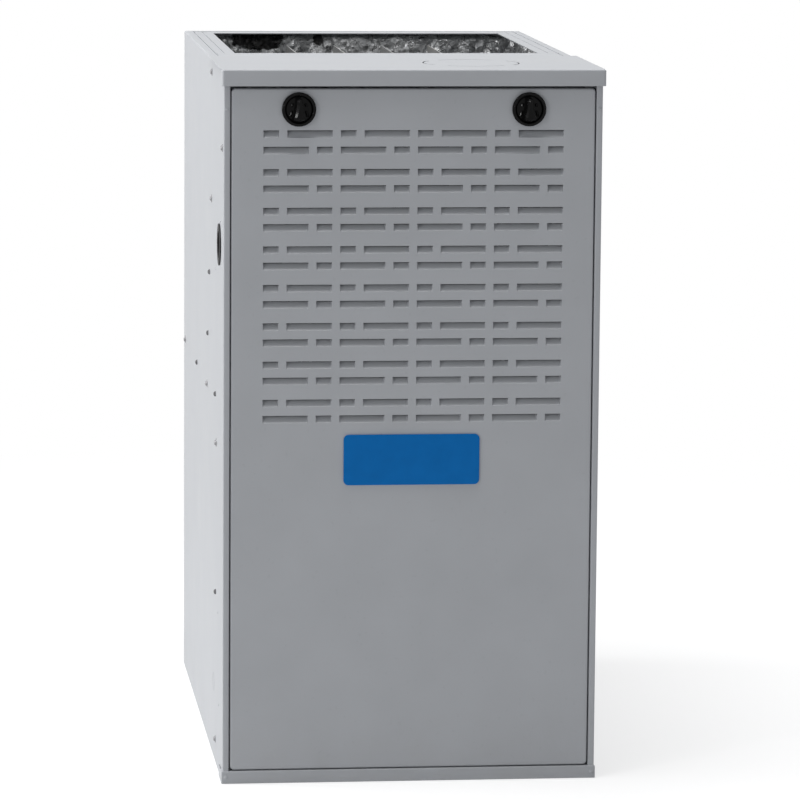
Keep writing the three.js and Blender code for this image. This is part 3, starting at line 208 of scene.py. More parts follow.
def eased(node):
    """A copy of a CAD node with its corners merged, flat faces joined, edges rounded and its
    round walls shaded soft. It rides on the node's own body, in the node's own finish."""
    source = frame["nodes"][node]
    work = bmesh.new()
    work.from_mesh(source.data)
    bmesh.ops.remove_doubles(work, verts=work.verts, dist=EASE_MERGE)
    bmesh.ops.dissolve_limit(work, angle_limit=EASE_FLAT, verts=work.verts, edges=work.edges)
    mesh = bpy.data.meshes.new(node + "_eased")
    work.to_mesh(mesh)
    work.free()
    item = linked(node + "_eased", mesh)
    edge = item.modifiers.new("edge", "BEVEL")
    edge.width = EASE_WIDTH
    edge.segments = 2
    edge.limit_method = "ANGLE"
    edge.angle_limit = EASE_FROM
    edge.use_clamp_overlap = True
    return dressed(item, source["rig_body"], SLOT_OF[node], (node,), smooth=EASE_SOFT,
                   material=finish_of(node))


# ---- outlines and forms
def rounded_path(corners, radii):
    """An open path through corners, each replaced by an arc of its radius with six points."""
    corners = np.asarray(corners, float)
    out = [corners[:1]]
    for before, corner, after, radius in zip(corners, corners[1:], corners[2:], radii):
        a = (before - corner) / np.linalg.norm(before - corner)
        b = (after - corner) / np.linalg.norm(after - corner)
        half_angle = math.acos(np.clip(a @ b, -1, 1)) / 2
        reach = radius / math.tan(half_angle)
        centre = corner + (a + b) / np.linalg.norm(a + b) * radius / math.sin(half_angle)
        start, end = corner + a * reach - centre, corner + b * reach - centre
        sweep = math.pi - 2 * half_angle
        t = np.linspace(0, 1, 6)[:, None]
        out.append(centre + (np.sin((1 - t) * sweep) * start + np.sin(t * sweep) * end)
                   / math.sin(sweep))
    out.append(corners[-1:])
    return np.concatenate(out)


def rounded_loop(half_x, half_z, radius, steps=6):
    """A closed rounded rectangle about the origin: four quarter circles joined by straight sides."""
    radius = max(radius, 0.02 * mm)
    t = quarter(steps + 1)[None] + np.arange(4)[:, None] * math.pi / 2
    side_x = np.array([1, -1, -1, 1])[:, None] * max(half_x - radius, 0)
    side_z = np.array([1, 1, -1, -1])[:, None] * max(half_z - radius, 0)
    return np.stack([side_x + radius * np.cos(t), side_z + radius * np.sin(t)], -1).reshape(-1, 2)


def quarter(count):
    """That many angles from 0 to a quarter turn."""
    return np.linspace(0, math.pi / 2, count)


AXES = {"x": (1, 2, 0), "y": (0, 2, 1), "z": (0, 1, 2)}


def placed(first, second, along, axis):
    """Puts two in-plane coordinates and one along an axis in x, y, z order."""
    out = np.zeros(np.broadcast(first, second, along).shape + (3,))
    for values, index in zip((first, second, along), AXES[axis]):
        out[..., index] = values
    return out


def turned(profile, centre=(0, 0, 0), axis="y", sides=32):
    """A profile of (radius, place along the axis) turned once round the axis."""
    profile = np.asarray(profile, float)
    angle = np.linspace(0, 2 * math.pi, sides, endpoint=False)
    r, h = profile[:, :1], profile[:, 1:]
    grid = placed(r * np.cos(angle), r * np.sin(angle), h + 0 * angle, axis)
    return patch(grid + np.asarray(centre), close_columns=True)


def stepped_plate(half_x, half_z, radius, profile, centre, steps=6):
    """A rounded upright plate: its outline drawn in by each inset of the profile, at that y."""
    rings = []
    for inset, depth in profile:
        loop = rounded_loop(max(half_x - inset, 0), max(half_z - inset, 0), radius - inset, steps)
        rings.append(placed(loop[:, 0], loop[:, 1], depth, "y"))
    return patch(np.array(rings) + np.asarray(centre), close_columns=True)


def rounded_edge(width, front):
    """Profile points (inset, depth) of a quarter round from a plate's side to its front."""
    t = quarter(5)
    return [(width * (1 - math.cos(a)), front + width * (1 - math.sin(a))) for a in t]


def folded_panel(across, up, corner, bend, reach, front, relief=None, keep=None, turn=None):
    """A flat panel with folded edges. Between the lines `across` and `up` it is flat. Past each
    edge a distance s follows one profile: flat for corner - bend, a quarter circle of radius bend,
    then straight back to that edge's reach (left, right, low, high). Where two edges meet, the
    larger s gives the profile and the ratio of both gives the direction, so the corner is round.
    relief(x, z) sets the flat part back, keep(x, z) drops faces, and turn(x, z, depth) places the
    points in another plane."""
    arc = quarter(6)
    shallow = min(r for r in reach if r > 0)
    distance = np.concatenate([[0], corner - bend + bend * np.sin(arc), [corner, corner]])
    depth = np.concatenate([[0], bend * (1 - np.cos(arc)), [shallow, shallow]])
    last = len(distance) - 1

    def lines(inner, low_side, high_side):
        low = np.arange(last, 0, -1) if low_side > 0 else np.arange(0)
        high = np.arange(1, last + 1) if high_side > 0 else np.arange(0)
        base = np.concatenate([np.full(len(low), inner[0]), inner, np.full(len(high), inner[-1])])
        index = np.concatenate([low, np.zeros(len(inner), int), high])
        sign = np.concatenate([-np.ones(len(low)), np.zeros(len(inner)), np.ones(len(high))])
        own = np.where(sign < 0, low_side, high_side)
        return base, index, sign, own

    bx, ix, sx, rx = (v[:, None] for v in lines(across, reach[0], reach[1]))
    bz, iz, sz, rz = (v[None, :] for v in lines(up, reach[2], reach[3]))
    index = np.maximum(ix, iz)
    ratio = np.minimum(ix, iz) / np.maximum(index, 1)
    angle = np.where(ix >= iz, ratio, 2 - ratio) * math.pi / 4
    x = bx + sx * distance[index] * np.cos(angle)
    z = bz + sz * distance[index] * np.sin(angle)
    y = depth[index] + 0 * angle
    y = np.where((ix == last) & (iz < last) & (index == last), rx + 0 * y, y)
    y = np.where((iz == last) & (ix < last) & (index == last), rz + 0 * y, y)
    if relief is not None:
        y = np.where(index == 0, relief(x, z), y)
    used = np.ones((len(x) - 1, x.shape[1] - 1), bool)
    both = (np.minimum(ix, iz) > 0) & (index == last)
    for corner_of in (both[:-1, :-1], both[1:, :-1], both[:-1, 1:], both[1:, 1:]):
        used &= ~corner_of
    if keep is not None:
        used &= keep(x, z)
    grid = placed(x, z, front + y, "y") if turn is None else turn(x, z, y)
    return patch(grid, keep=used)


def ring_lines(radius, reach, inner=7, outer=3):
    """Offsets of grid lines for a round hole: evenly out to its radius, then on to the reach."""
    beyond = np.linspace(radius, reach, outer + 1)[1:]
    half = np.concatenate([np.linspace(0, radius, inner + 1), beyond])
    return np.concatenate([-half[:0:-1], half])


def rounded_block(u, v, radius, reach):
    """Turns square rings of a grid into round ones. A point's larger offset picks its ring, and
    the ratio of both offsets its direction. Rings up to the radius become circles, and from there
    to the reach they change back to squares, so the lines beyond stay straight."""
    size = np.maximum(np.abs(u), np.abs(v))
    inside = (size > 0) & (size < reach)
    su, sv = u / np.where(inside, size, 1), v / np.where(inside, size, 1)
    wide = np.abs(su) >= np.abs(sv)
    ratio = np.where(wide, sv / np.where(wide & inside, su, 1), su / np.where(wide | ~inside, 1, sv))
    along, across = np.cos(ratio * math.pi / 4), np.sin(ratio * math.pi / 4)
    round_u = np.where(wide, np.sign(su) * along, np.sign(sv) * across)
    round_v = np.where(wide, np.sign(su) * across, np.sign(sv) * along)
    square = np.clip((size - radius) / (reach - radius), 0, 1)
    moved_u = size * ((1 - square) * round_u + square * su)
    moved_v = size * ((1 - square) * round_v + square * sv)
    return np.where(inside, moved_u, u), np.where(inside, moved_v, v)


# ---- shader maths
class Number:
    """One number that varies over a surface. + - * with it add Math nodes."""

    def __init__(self, graph, socket):
        self.graph = graph
        self.socket = socket

    def _with(self, operation, first, second):
        return Number(self.graph, self.graph.node(
            "Math", {0: first, 1: second}, operation=operation).outputs[0])

    def __add__(self, other):
        return self._with("ADD", self, other)

    def __sub__(self, other):
        return self._with("SUBTRACT", self, other)

    def __rsub__(self, other):
        return self._with("SUBTRACT", other, self)

    def __mul__(self, other):
        return self._with("MULTIPLY", self, other)


class Graph:
    """The nodes of one material."""

    def __init__(self, name):
        self.material = bpy.data.materials.new(name)
        self.material.use_nodes = True
        self.tree = self.material.node_tree
        self.tree.nodes.clear()
        self.output = self.node("OutputMaterial")
        self.surface = self.node("BsdfPrincipled")
        self.tree.links.new(self.surface.outputs[0], self.output.inputs["Surface"])
        self.place = self.node("TexCoord").outputs["Object"]

    def node(self, kind, inputs=None, **settings):
        """Adds one node: its settings first, then the values or links of its sockets."""
        made = self.tree.nodes.new("ShaderNode" + kind)
        for key, value in settings.items():
            setattr(made, key, value)
        for key, value in (inputs or {}).items():
            self.link(made.inputs[key], value)
        return made

    def link(self, socket, value):
        """Links a varying value to a socket, or sets a constant on it."""
        if isinstance(value, Number):
            value = value.socket
        if isinstance(value, bpy.types.NodeSocket):
            self.tree.links.new(value, socket)
        elif isinstance(value, tuple) and socket.type == "RGBA":
            socket.default_value = (*value, 1)[:4]
        else:
            socket.default_value = value

    def stretched(self, scale):
        """The place with each coordinate times its own scale."""
        return self.node("Mapping", {"Vector": self.place, "Scale": scale}).outputs[0]

    def noise(self, size, detail=3.0, rough=0.55, where=None):
        """Cloudy noise between 0 and 1 whose lumps are about `size` metres wide."""
        made = self.node("TexNoise", {
            "Vector": where or self.place, "Scale": 1 / size, "Detail": detail, "Roughness": rough})
        return Number(self, made.outputs["Fac"])

    def cells(self, size, output="Distance"):
        """Cells about `size` metres wide: the distance from their middle, or their colour."""
        made = self.node("TexVoronoi", {"Vector": self.place, "Scale": 1 / size})
        return made.outputs[output]

    def grey(self, socket):
        made = self.node("SeparateColor", {"Color": socket})
        return Number(self, made.outputs[0])

    def height(self):
        """The height above the floor, in metres."""
        return Number(self, self.node("SeparateXYZ", {0: self.place}).outputs[2])

    def range(self, value, low, high, out_low=0.0, out_high=1.0):
        """A straight ramp from out_low at low to out_high at high, held flat past both."""
        made = self.node("MapRange", {
            "Value": value, "From Min": low, "From Max": high, "To Min": out_low, "To Max": out_high})
        return Number(self, made.outputs["Result"])

    def mix(self, amount, first, second):
        """The first colour at 0, the second at 1."""
        made = self.node("Mix", {"Factor": amount, 6: first, 7: second}, data_type="RGBA")
        return made.outputs[2]

    def finish(self, colour, roughness, bump, **inputs):
        """Sets the shader, with a bump of (height, strength, distance), and gives the material."""
        relief = self.node("Bump", dict(zip(("Height", "Strength", "Distance"), bump)))
        inputs.update(Base_Color=colour, Roughness=roughness, Normal=relief.outputs[0])
        for name, value in inputs.items():
            self.link(self.surface.inputs[name.replace("_", " ")], value)
        return self.material


def shade(colour, factor, lift=0.0):
    """A colour times a factor, raised a little, and never past white."""
    return tuple(min(c * factor + lift, 1) for c in colour)


def painted_steel(name, colour, roughness):
    """Baked enamel: a faint orange peel, cloudy roughness, soft dust near the floor, specks."""
    g = Graph(name)
    cloud = g.noise(90 * mm, 2.0)
    fine = g.noise(2.2 * mm, 2.0, 0.5)
    speck = g.range(g.noise(5 * mm, 1.0, 0.4), 0.70, 0.74)
    base = g.mix(g.range(cloud, 0.3, 0.7), shade(colour, 0.965), shade(colour, 1.02))
    base = g.mix(speck * 0.12, base, shade(colour, 0.72))
    dust = g.range(g.height(), 0.0, 0.12, 0.10, 0.0)
    base = g.mix(dust * g.range(g.noise(30 * mm), 0.35, 0.7), base, (0.36, 0.34, 0.31))
    rough = g.range(cloud + fine * 0.3, 0.4, 1.0, roughness - 0.04, roughness + 0.08)
    return g.finish(base, rough, (fine, 0.12, 0.3 * mm))


def zinc_coated(name, colour=(0.55, 0.56, 0.57), flake=7 * mm, roughness=0.38, painted_from=None):
    """Galvanised sheet: crystal flakes that differ in tone and gloss, rolling marks, dull stains.
    Above a height it can be painted like the casing."""
    g = Graph(name)
    flakes = g.grey(g.cells(flake, output="Color"))
    stain = g.range(g.noise(60 * mm, 4.0), 0.42, 0.75)
    roll = g.noise(1.0, 2.0, where=g.stretched((9.0, 700.0, 9.0)))
    base = g.mix(flakes, shade(colour, 0.88), shade(colour, 1.06))
    base = g.mix(stain * 0.4, base, shade(colour, 0.72))
    metal = 0.85
    if painted_from is not None:
        painted = g.range(g.height(), painted_from, painted_from + 0.1 * mm)
        base = g.mix(painted, base, PAINT)
        metal = 0.85 - painted * 0.85
    worn = flakes * 0.5 + stain * 0.6 + roll * 0.2
    rough = g.range(worn, 0.0, 1.3, roughness - 0.04, roughness + 0.18)
    return g.finish(base, rough, (flakes * 0.3 + roll * 0.2, 0.08, 0.15 * mm), Metallic=metal)


def coated_steel(name, colour=(0.33, 0.335, 0.335)):
    """Aluminised steel: matte silver grey with straw and blue heat tint and fine scuffs."""
    g = Graph(name)
    heat = g.range(g.noise(70 * mm, 3.0), 0.45, 0.75)
    scuff = g.range(g.noise(1.0, 3.0, where=g.stretched((60.0, 900.0, 60.0))), 0.55, 0.75)
    base = g.mix(heat * 0.35, colour, (0.27, 0.245, 0.205))
    base = g.mix(scuff * 0.3, base, shade(colour, 1.3))
    rough = g.range(heat - scuff * 0.3, -0.3, 1, 0.34, 0.6)
    return g.finish(base, rough, (g.noise(1.5 * mm, 2.0), 0.14, 0.15 * mm), Metallic=0.8)


def crinkled_foil(name, hollows=()):
    """Foil facing: bright metal, duller where it is rubbed, with sharp winding creases where a noise
    crosses its middle value, darkened with painted shade, and in each hollow (x, z, half width,
    half height) a near-black patch of painted shade with a ragged edge."""
    g = Graph(name)

    def creases(size, width):
        away = g.noise(size, 2.0, 0.45) - 0.5
        return g.range(away * away, 0.0, width * width, 1.0, 0.0)

    crease = creases(20 * mm, 0.02)
    fine = creases(7 * mm, 0.03)
    rubbed = g.range(g.noise(14 * mm, 4.0), 0.4, 0.65)
    base = g.mix(rubbed, (0.74, 0.75, 0.76), (0.40, 0.41, 0.42))
    # Painted shade: the creases and the fine creases are darkened in the colour; the same masks also
    # shape the bump.
    base = g.mix(crease * 0.6, base, (0.06, 0.06, 0.062))
    base = g.mix(fine * 0.25, base, (0.12, 0.12, 0.125))
    metal = 0.75
    if hollows:
        axes = g.node("SeparateXYZ", {0: g.place})
        px, pz = Number(g, axes.outputs[0]), Number(g, axes.outputs[2])
        ragged = g.noise(20 * mm, 5.0, 0.6)
        torn = 0.0
        for x, z, half_x, half_z in hollows:
            u, v = (px - x) * (1 / half_x), (pz - z) * (1 / half_z)
            inside = g.range(u * u + v * v + ragged * 3.0, 2.3, 2.5, 1.0, 0.0)
            torn = inside + torn
        torn = g.range(torn, 0, 1)
        # Painted shade: torn marks the hollows, which are coloured near black and made less metallic;
        # the foil's shape is not opened there.
        base = g.mix(torn, base, (0.006, 0.006, 0.007))
        metal = 0.75 - torn * 0.75
    relief = g.noise(9 * mm, 4.0, 0.7) - crease * 0.3 - fine * 0.2
    rough = g.range(rubbed, 0, 1, 0.26, 0.5)
    return g.finish(base, rough, (relief, 0.8, 1.5 * mm), Metallic=metal)


def moulded(name, colour, roughness, grain=0.10, shine=0.5):
    """Moulded plastic or rubber: fine mould grain and slightly cloudy gloss."""
    g = Graph(name)
    cloud = g.noise(12 * mm, 3.0)
    grain_height = g.noise(0.5 * mm, 1.0)
    base = g.mix(g.range(cloud, 0.35, 0.7), colour, shade(colour, 1.35, 0.0008))
    rough = g.range(cloud + grain_height * 0.2, 0.3, 0.9, roughness, roughness + 0.12)
    return g.finish(base, rough, (grain_height, grain, 0.05 * mm), Specular_IOR_Level=shine)


def enamel_badge(name, colour):
    """Glossy printed plate: even colour under clear lacquer, with tiny pits."""
    g = Graph(name)
    tone = g.noise(20 * mm, 2.0)
    base = g.mix(g.range(tone, 0.3, 0.7), colour, shade(colour, 0.92))
    rough = g.range(tone, 0.3, 0.7, 0.30, 0.38)
    return g.finish(base, rough, (g.noise(1.2 * mm, 1.0), 0.03, 0.05 * mm), Specular_IOR_Level=0.1)


def machined(name, colour, roughness):
    """Turned or cast metal: tool marks, tarnish in the hollows."""
    g = Graph(name)
    tarnish = g.range(g.noise(14 * mm, 4.0), 0.4, 0.75)
    marks = g.noise(0.7 * mm, 2.0)
    base = g.mix(tarnish * 0.6, colour, shade(colour, 0.55))
    rough = g.range(tarnish + marks * 0.3, 0, 1.3, roughness, roughness + 0.25)
    return g.finish(base, rough, (marks, 0.15, 0.08 * mm), Metallic=0.9)


def black_pipe(name):
    """Black lacquered steel with scuffs that show dull metal."""
    g = Graph(name)
    scuff = g.range(g.noise(9 * mm, 5.0, 0.7), 0.62, 0.70)
    base = g.mix(scuff, (0.018, 0.018, 0.02), (0.16, 0.15, 0.14))
    rough = g.range(g.noise(6 * mm), 0.3, 0.7, 0.38, 0.6)
    return g.finish(base, rough, (g.noise(1.4 * mm), 0.2, 0.1 * mm),
                    Metallic=g.range(scuff, 0, 1, 0.1, 0.8))


def board(name):
    """Circuit board: lacquered green with paler copper runs and solder dots."""
    g = Graph(name)
    run = g.range(g.grey(g.cells(7 * mm, output="Color")), 0.45, 0.5)
    dots = g.range(Number(g, g.cells(4 * mm)), 0.0, 0.22, 1.0, 0.0)
    base = g.mix(run, (0.012, 0.10, 0.035), (0.03, 0.17, 0.06))
    base = g.mix(g.range(dots, 0.35, 0.5), base, (0.55, 0.55, 0.52))
    return g.finish(base, g.range(dots, 0, 1, 0.3, 0.5), (run * 0.4 + dots, 0.3, 0.1 * mm))


def fired_clay(name):
    """Unglazed ceramic with fine pores."""
    g = Graph(name)
    pores = g.noise(1.0 * mm, 3.0)
    base = g.mix(g.range(g.noise(8 * mm), 0.3, 0.7), (0.72, 0.68, 0.58), (0.62, 0.57, 0.47))
    return g.finish(base, g.range(pores, 0.3, 0.7, 0.7, 0.9), (pores, 0.3, 0.1 * mm))


PAINT = (0.455, 0.470, 0.495)
SLOT_MATERIAL = {
    "casing_paint": painted_steel("casing paint", PAINT, 0.42),
    "door_paint": painted_steel("door paint", PAINT, 0.38),
    "zinc_sheet": zinc_coated("zinc sheet"),
    "coated_sheet": coated_steel("coated sheet"),
    "foil_lining": crinkled_foil("foil lining"),
    "black_plastic": moulded("black gloss plastic", (0.002, 0.002, 0.0023), 0.07, 0.01, 0.10),
    "matte_black": moulded("matte black", (0.018, 0.018, 0.019), 0.5),
    "rubber": moulded("rubber", (0.014, 0.014, 0.015), 0.7, 0.25),
    "red_plastic": moulded("red plastic", (0.45, 0.02, 0.015), 0.3),
    "badge_blue": enamel_badge("badge blue", (0.002, 0.165, 0.52)),
    "brass": machined("brass", (0.62, 0.45, 0.18), 0.28),
    "cast_body": machined("cast body", (0.45, 0.46, 0.47), 0.42),
    "black_steel": black_pipe("black steel"),
    "circuit_board": board("circuit board"),
    "ceramic": fired_clay("ceramic"),
}
# Finishes of single pieces that differ from their slot's.
# Patches of painted shade on the back foil: x, z, half width and half height.
SHADE_PATCHES = ((-0.127, 0.835, 0.034, 0.014), (-0.047, 0.834, 0.008, 0.010))
shaded_foil = crinkled_foil("foil lining with painted shade", SHADE_PATCHES)
plated = zinc_coated("plated screws", (0.30, 0.30, 0.31), 3 * mm, 0.34)
# Partly painted shade: the side heads' dark grey also stands for the shade on heads that stand out
# further than these.
dull = moulded("dark heads with painted shade", (0.10, 0.10, 0.104), 0.45)
PAINTED_EDGE = 2.2 * mm  # the burner wall is painted from this far below its top
burner_wall = zinc_coated("burner wall", painted_from=spans("cell_panel")[2][1] - PAINTED_EDGE)

NODE_MATERIAL = {"cell_panel": burner_wall}
SLOT_OF = {entry["node"]: entry["material_slot"] for entry in frame["record"]["subparts"]}


def finish_of(node):
    """The material of a node: its own, or else that of its record slot."""
    return NODE_MATERIAL.get(node, SLOT_MATERIAL[SLOT_OF[node]])


def dress_nodes():
    """Every carried-over CAD node gets its procedural finish."""
    for node in SLOT_OF:
        mesh = frame["nodes"][node].data
        mesh.materials.clear()
        mesh.materials.append(finish_of(node))


# ---- the door
SHORT_SLOT = 18.4 * mm
LONG_SLOT = 53.3 * mm
BRIDGE = 9.4 * mm
SLOT_HEIGHT = 8.8 * mm
SLOT_DEPTH = 5.4 * mm
SLOT_POWER = 0.85
SLOT_END = 1.1 * mm  # length of a louvre's drawn-in end
FIRST_SLOT_DROP = 48.9 * mm
PAIR_PITCH = 45.2 * mm
ROW_STEP = 19.1 * mm
SLOT_PERIOD = SHORT_SLOT + LONG_SLOT + 2 * BRIDGE
TEAR = 1.2 * mm  # height of the open slit over each louvre
CUT = 0.02 * mm  # the sheet's edge over the slit stays in the plane of the door
GUARD = 0.8 * mm  # a line this far off keeps a louvre's shading from the flat sheet
DOOR_BEND = 2.2 * mm
DOOR_CORNER = 5 * mm
STEM_HOLE = 7.2 * mm
KNOB_X = 135 * mm


def slot_starts(short_first):
    """(left end, right end) of the eight slots in a row."""
    start = -(4 * SLOT_PERIOD - BRIDGE) / 2 + np.arange(4) * SLOT_PERIOD
    first, second = (SHORT_SLOT, LONG_SLOT) if short_first else (LONG_SLOT, SHORT_SLOT)
    left = np.sort(np.concatenate([start, start + first + BRIDGE]))
    length = np.tile([first, second], 4)
    return np.stack([left, left + length], -1)


def slot_rows():
    """(top, whether the row begins with a short slot) for each of the sixteen rows."""
    tops = DOOR_Z[1] - FIRST_SLOT_DROP - PAIR_PITCH * np.arange(8)
    return [(t, True) for t in tops] + [(t - ROW_STEP, False) for t in tops]


def louvre_relief(x, z):
    """How far the sheet is pressed back: in each slot it sinks from nothing at the lower edge to
    the full depth at the slit, as a power of the height, and rises at both ends as a quarter
    sine."""
    depth = np.zeros(x.shape)
    for top, short_first in slot_rows():
        rise = np.clip((z - (top - SLOT_HEIGHT)) / (SLOT_HEIGHT - TEAR), 0, 1)
        inside = (z > top - SLOT_HEIGHT) & (z < top - CUT / 2)
        for left, right in slot_starts(short_first):
            end = np.clip(np.minimum(x - left, right - x) / SLOT_END, 0, 1)
            pressed = SLOT_DEPTH * rise ** SLOT_POWER * np.sin(end * math.pi / 2)
            depth = np.where(inside & (end > 0), pressed, depth)
    return depth


def door_lines():
    """The grid lines of the door's face: close together where a louvre turns, none elsewhere."""
    ends = np.array([-0.3, -0.02, 0.15, 0.4, 0.7, 1.0, 1.3]) * SLOT_END
    across = [np.array([DOOR_X[0] + DOOR_CORNER, DOOR_X[1] - DOOR_CORNER])]
    for short_first in (True, False):
        for left, right in slot_starts(short_first):
            across += [left + ends, right - ends]
    for x in (-KNOB_X, KNOB_X):
        across.append(np.array([x - STEM_HOLE, x + STEM_HOLE]))
    up = [np.array([DOOR_Z[0] + DOOR_CORNER, DOOR_Z[1] - DOOR_CORNER,
                    KNOB_Z - STEM_HOLE, KNOB_Z + STEM_HOLE])]
    for top, _ in slot_rows():
        up.append(top - SLOT_HEIGHT + (SLOT_HEIGHT - TEAR) * np.array([0, 0.12, 0.3, 0.55, 0.8, 1]))
        up.append(top + np.array([-CUT, 0, GUARD]))
        up.append(top - SLOT_HEIGHT - np.array([CUT, GUARD]))
    return (np.unique(np.concatenate(values).round(7)) for values in (across, up))


def door_faces(x, z):
    """False for the open slit over each louvre and for the knobs' stem holes."""
    middle_x = (x[:-1, :-1] + x[1:, 1:]) / 2
    middle_z = (z[:-1, :-1] + z[1:, 1:]) / 2
    kept = np.ones(middle_x.shape, bool)
    for top, short_first in slot_rows():
        strip = (middle_z < top) & (middle_z > top - TEAR)
        for left, right in slot_starts(short_first):
            kept &= ~(strip & (middle_x > left) & (middle_x < right))
    for knob in (-KNOB_X, KNOB_X):
        kept &= ~((np.abs(middle_x - knob) < STEM_HOLE) & (np.abs(middle_z - KNOB_Z) < STEM_HOLE))
    return kept


def build_door():
    """The door: one folded sheet with its louvres, slits and stem holes."""
    across, up = door_lines()
    reach = (DOOR_Y[1] - DOOR_Y[0],) * 4
    face = folded_panel(across, up, DOOR_CORNER, DOOR_BEND, reach, DOOR_Y[0], louvre_relief,
                        door_faces)
    piece("louvred_door", [face], "door", "door_paint", ("outer_door",), SHEET)


BADGE_CORNER = 6 * mm
BADGE_ROUND = 0.8 * mm
BADGE_EDGE = 0.2 * mm  # small chamfer at the back


def build_badge():
    """A rounded plate with a soft edge, flat and bare."""
    low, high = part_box("badge_plate")
    half_x, half_z = (high.x - low.x) / 2, (high.z - low.z) / 2
    face = rounded_edge(BADGE_ROUND, low.y) + [(3 * mm, low.y), (half_z, low.y)]
    profile = [(half_z, high.y), (BADGE_EDGE, high.y), (0, high.y - BADGE_EDGE)] + face
    x, _, z = centre_of("badge_plate")
    piece("bare_badge", [stepped_plate(half_x, half_z, BADGE_CORNER, profile, (x, 0, z))], "door",
          "badge_blue", ("badge_plate",), closed=True)


# ---- the knobs
KNOB_GAP = 0.3 * mm  # from the door's face to the knob's back
KNOB_RADIUS = 20 * mm
RIM_RISE = 5.2 * mm  # from the knob's back to the rim's front
RIM_ROUND = 2.4 * mm  # outside the rim
LIP_RADIUS = 17.2 * mm
LIP_ROUND = 1.3 * mm  # inside the rim
DISH_DROP = 3.4 * mm  # from the rim's front to the dish
STEM_RADIUS = 6.7 * mm
STEM_EDGE = 0.6 * mm
LUG_HALF = (10.5 * mm, 3 * mm, 1.5 * mm)  # half its length and width, and its corner radius
LUG_PROFILE = ((3, 4), (0.4, 4), (0, 3.6), (0, 0.4), (0.4, 0), (3, 0))  # mm in, and from its back
GRIP_HALF = 13.6 * mm
GRIP_TOP = 3.0 * mm  # half its width at the top
GRIP_FLARE = 4.6 * mm  # what that gains down to the foot
GRIP_FULL = 3.4 * mm  # where it is narrower, its chamfers shrink with it
GRIP_SUNK = 0.6 * mm
RIB_SUNK = 0.3 * mm
# mm inwards from the grip's edge, and below its front
GRIP_SECTION = ((0, 20), (0, 2.0), (0.35, 1.45), (2.95, 0.12), (3.2, 0))
# mm across the rib, and above the dish
RIB_SECTION = ((-1.7, -0.3), (-1.6, 0.1), (-1.4, 0.25), (-0.25, 0.84), (0.25, 0.84), (1.4, 0.25),
               (1.6, 0.1), (1.7, -0.3))
KNOB_RIBS = (((8.2, -1.2), (10.5, -9.4)), ((7.4, 7.2), (8.6, 2.8)))  # mm from the knob's centre


def knob_grip(x, dish, front):
    """The upright grip, wide at the foot: along its length its height follows a sixteenth-power
    arch, and its half width grows as the square of the distance from the top and closes at both
    ends as a tenth-power arch. Across it the section is flat walls, a broad chamfer along each
    edge and a flat front."""
    v = np.sin(np.linspace(-math.pi / 2, math.pi / 2, 45))[:, None]
    arch = np.sqrt(np.clip(1 - v ** 16, 0, 1))
    half_width = GRIP_TOP + GRIP_FLARE * ((1 - v) / 2) ** 2
    half_width = half_width * np.sqrt(np.clip(1 - v ** 10, 0, 1))
    inset, drop = np.array(GRIP_SECTION).T[:, None, :] * mm
    inset = inset * np.minimum(half_width / GRIP_FULL, 1)
    across = np.concatenate([inset - half_width, (half_width - inset)[:, ::-1]], 1)
    fallen = np.concatenate([drop, drop[:, ::-1]], 1)
    height = np.maximum((dish - front) * arch - fallen, -GRIP_SUNK)
    return patch(placed(x + across, KNOB_Z + GRIP_HALF * v, dish - height, "y"))


def knob_rib(dish, start, end):
    """A low rib in the dish: a flat-topped section with two broad flanks, carried from start to
    end and sinking into the dish at both ends as a sixth-power arch."""
    v = np.sin(np.linspace(-math.pi / 2, math.pi / 2, 15))[:, None]
    body = np.sqrt(np.clip(1 - v ** 6, 0, 1))
    start, end = np.array(start), np.array(end)
    middle, reach = (start + end) / 2, (end - start) / 2
    across, rise = np.array(RIB_SECTION).T[:, None, :] * mm
    return patch(placed(middle[0] + reach[0] * v + across * body, middle[1] + reach[1] * v,
                        dish + RIB_SUNK - (rise + RIB_SUNK) * body, "y"))


def build_knob(node, body, x):
    """A dished disc with a rounded rim, its grip and ribs, the stem through the door and the lug
    behind it."""
    low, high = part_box(node)
    back = DOOR_Y[0] - KNOB_GAP
    rim = back - RIM_RISE
    dish = rim + DISH_DROP
    t = quarter(7)
    edge = np.stack([KNOB_RADIUS - RIM_ROUND * (1 - np.cos(t)),
                     rim + RIM_ROUND * (1 - np.sin(t))], -1)
    lip = np.stack([LIP_RADIUS - LIP_ROUND * np.sin(t), rim + LIP_ROUND * (1 - np.cos(t))], -1)
    bowl = [(15.7 * mm, rim + 2.4 * mm), (14.6 * mm, dish - 0.3 * mm), (12 * mm, dish), (0, dish)]
    foot = [(0, back), (KNOB_RADIUS - 0.6 * mm, back), (KNOB_RADIUS, back - 0.5 * mm)]
    root = back - 0.4 * mm
    stem = [(0, root), (STEM_RADIUS, root), (STEM_RADIUS, high.y - STEM_EDGE),
            (STEM_RADIUS - STEM_EDGE, high.y), (0, high.y)]
    lug = [(inset * mm, high.y - rise * mm) for inset, rise in LUG_PROFILE]
    centre = (x, 0, KNOB_Z)
    parts = [turned([*foot, *edge, *lip, *bowl], centre, sides=64), knob_grip(x, dish, low.y)]
    for side in (1, -1):
        for rib in KNOB_RIBS:
            parts.append(knob_rib(dish, *((x + side * px * mm, KNOB_Z + pz * mm) for px, pz in rib)))
    parts += [turned(stem, centre), stepped_plate(*LUG_HALF, lug, centre, steps=4)]
    piece(node + "_moulded", parts, body, "black_plastic", (node,), closed=True,
          smooth=math.radians(24))


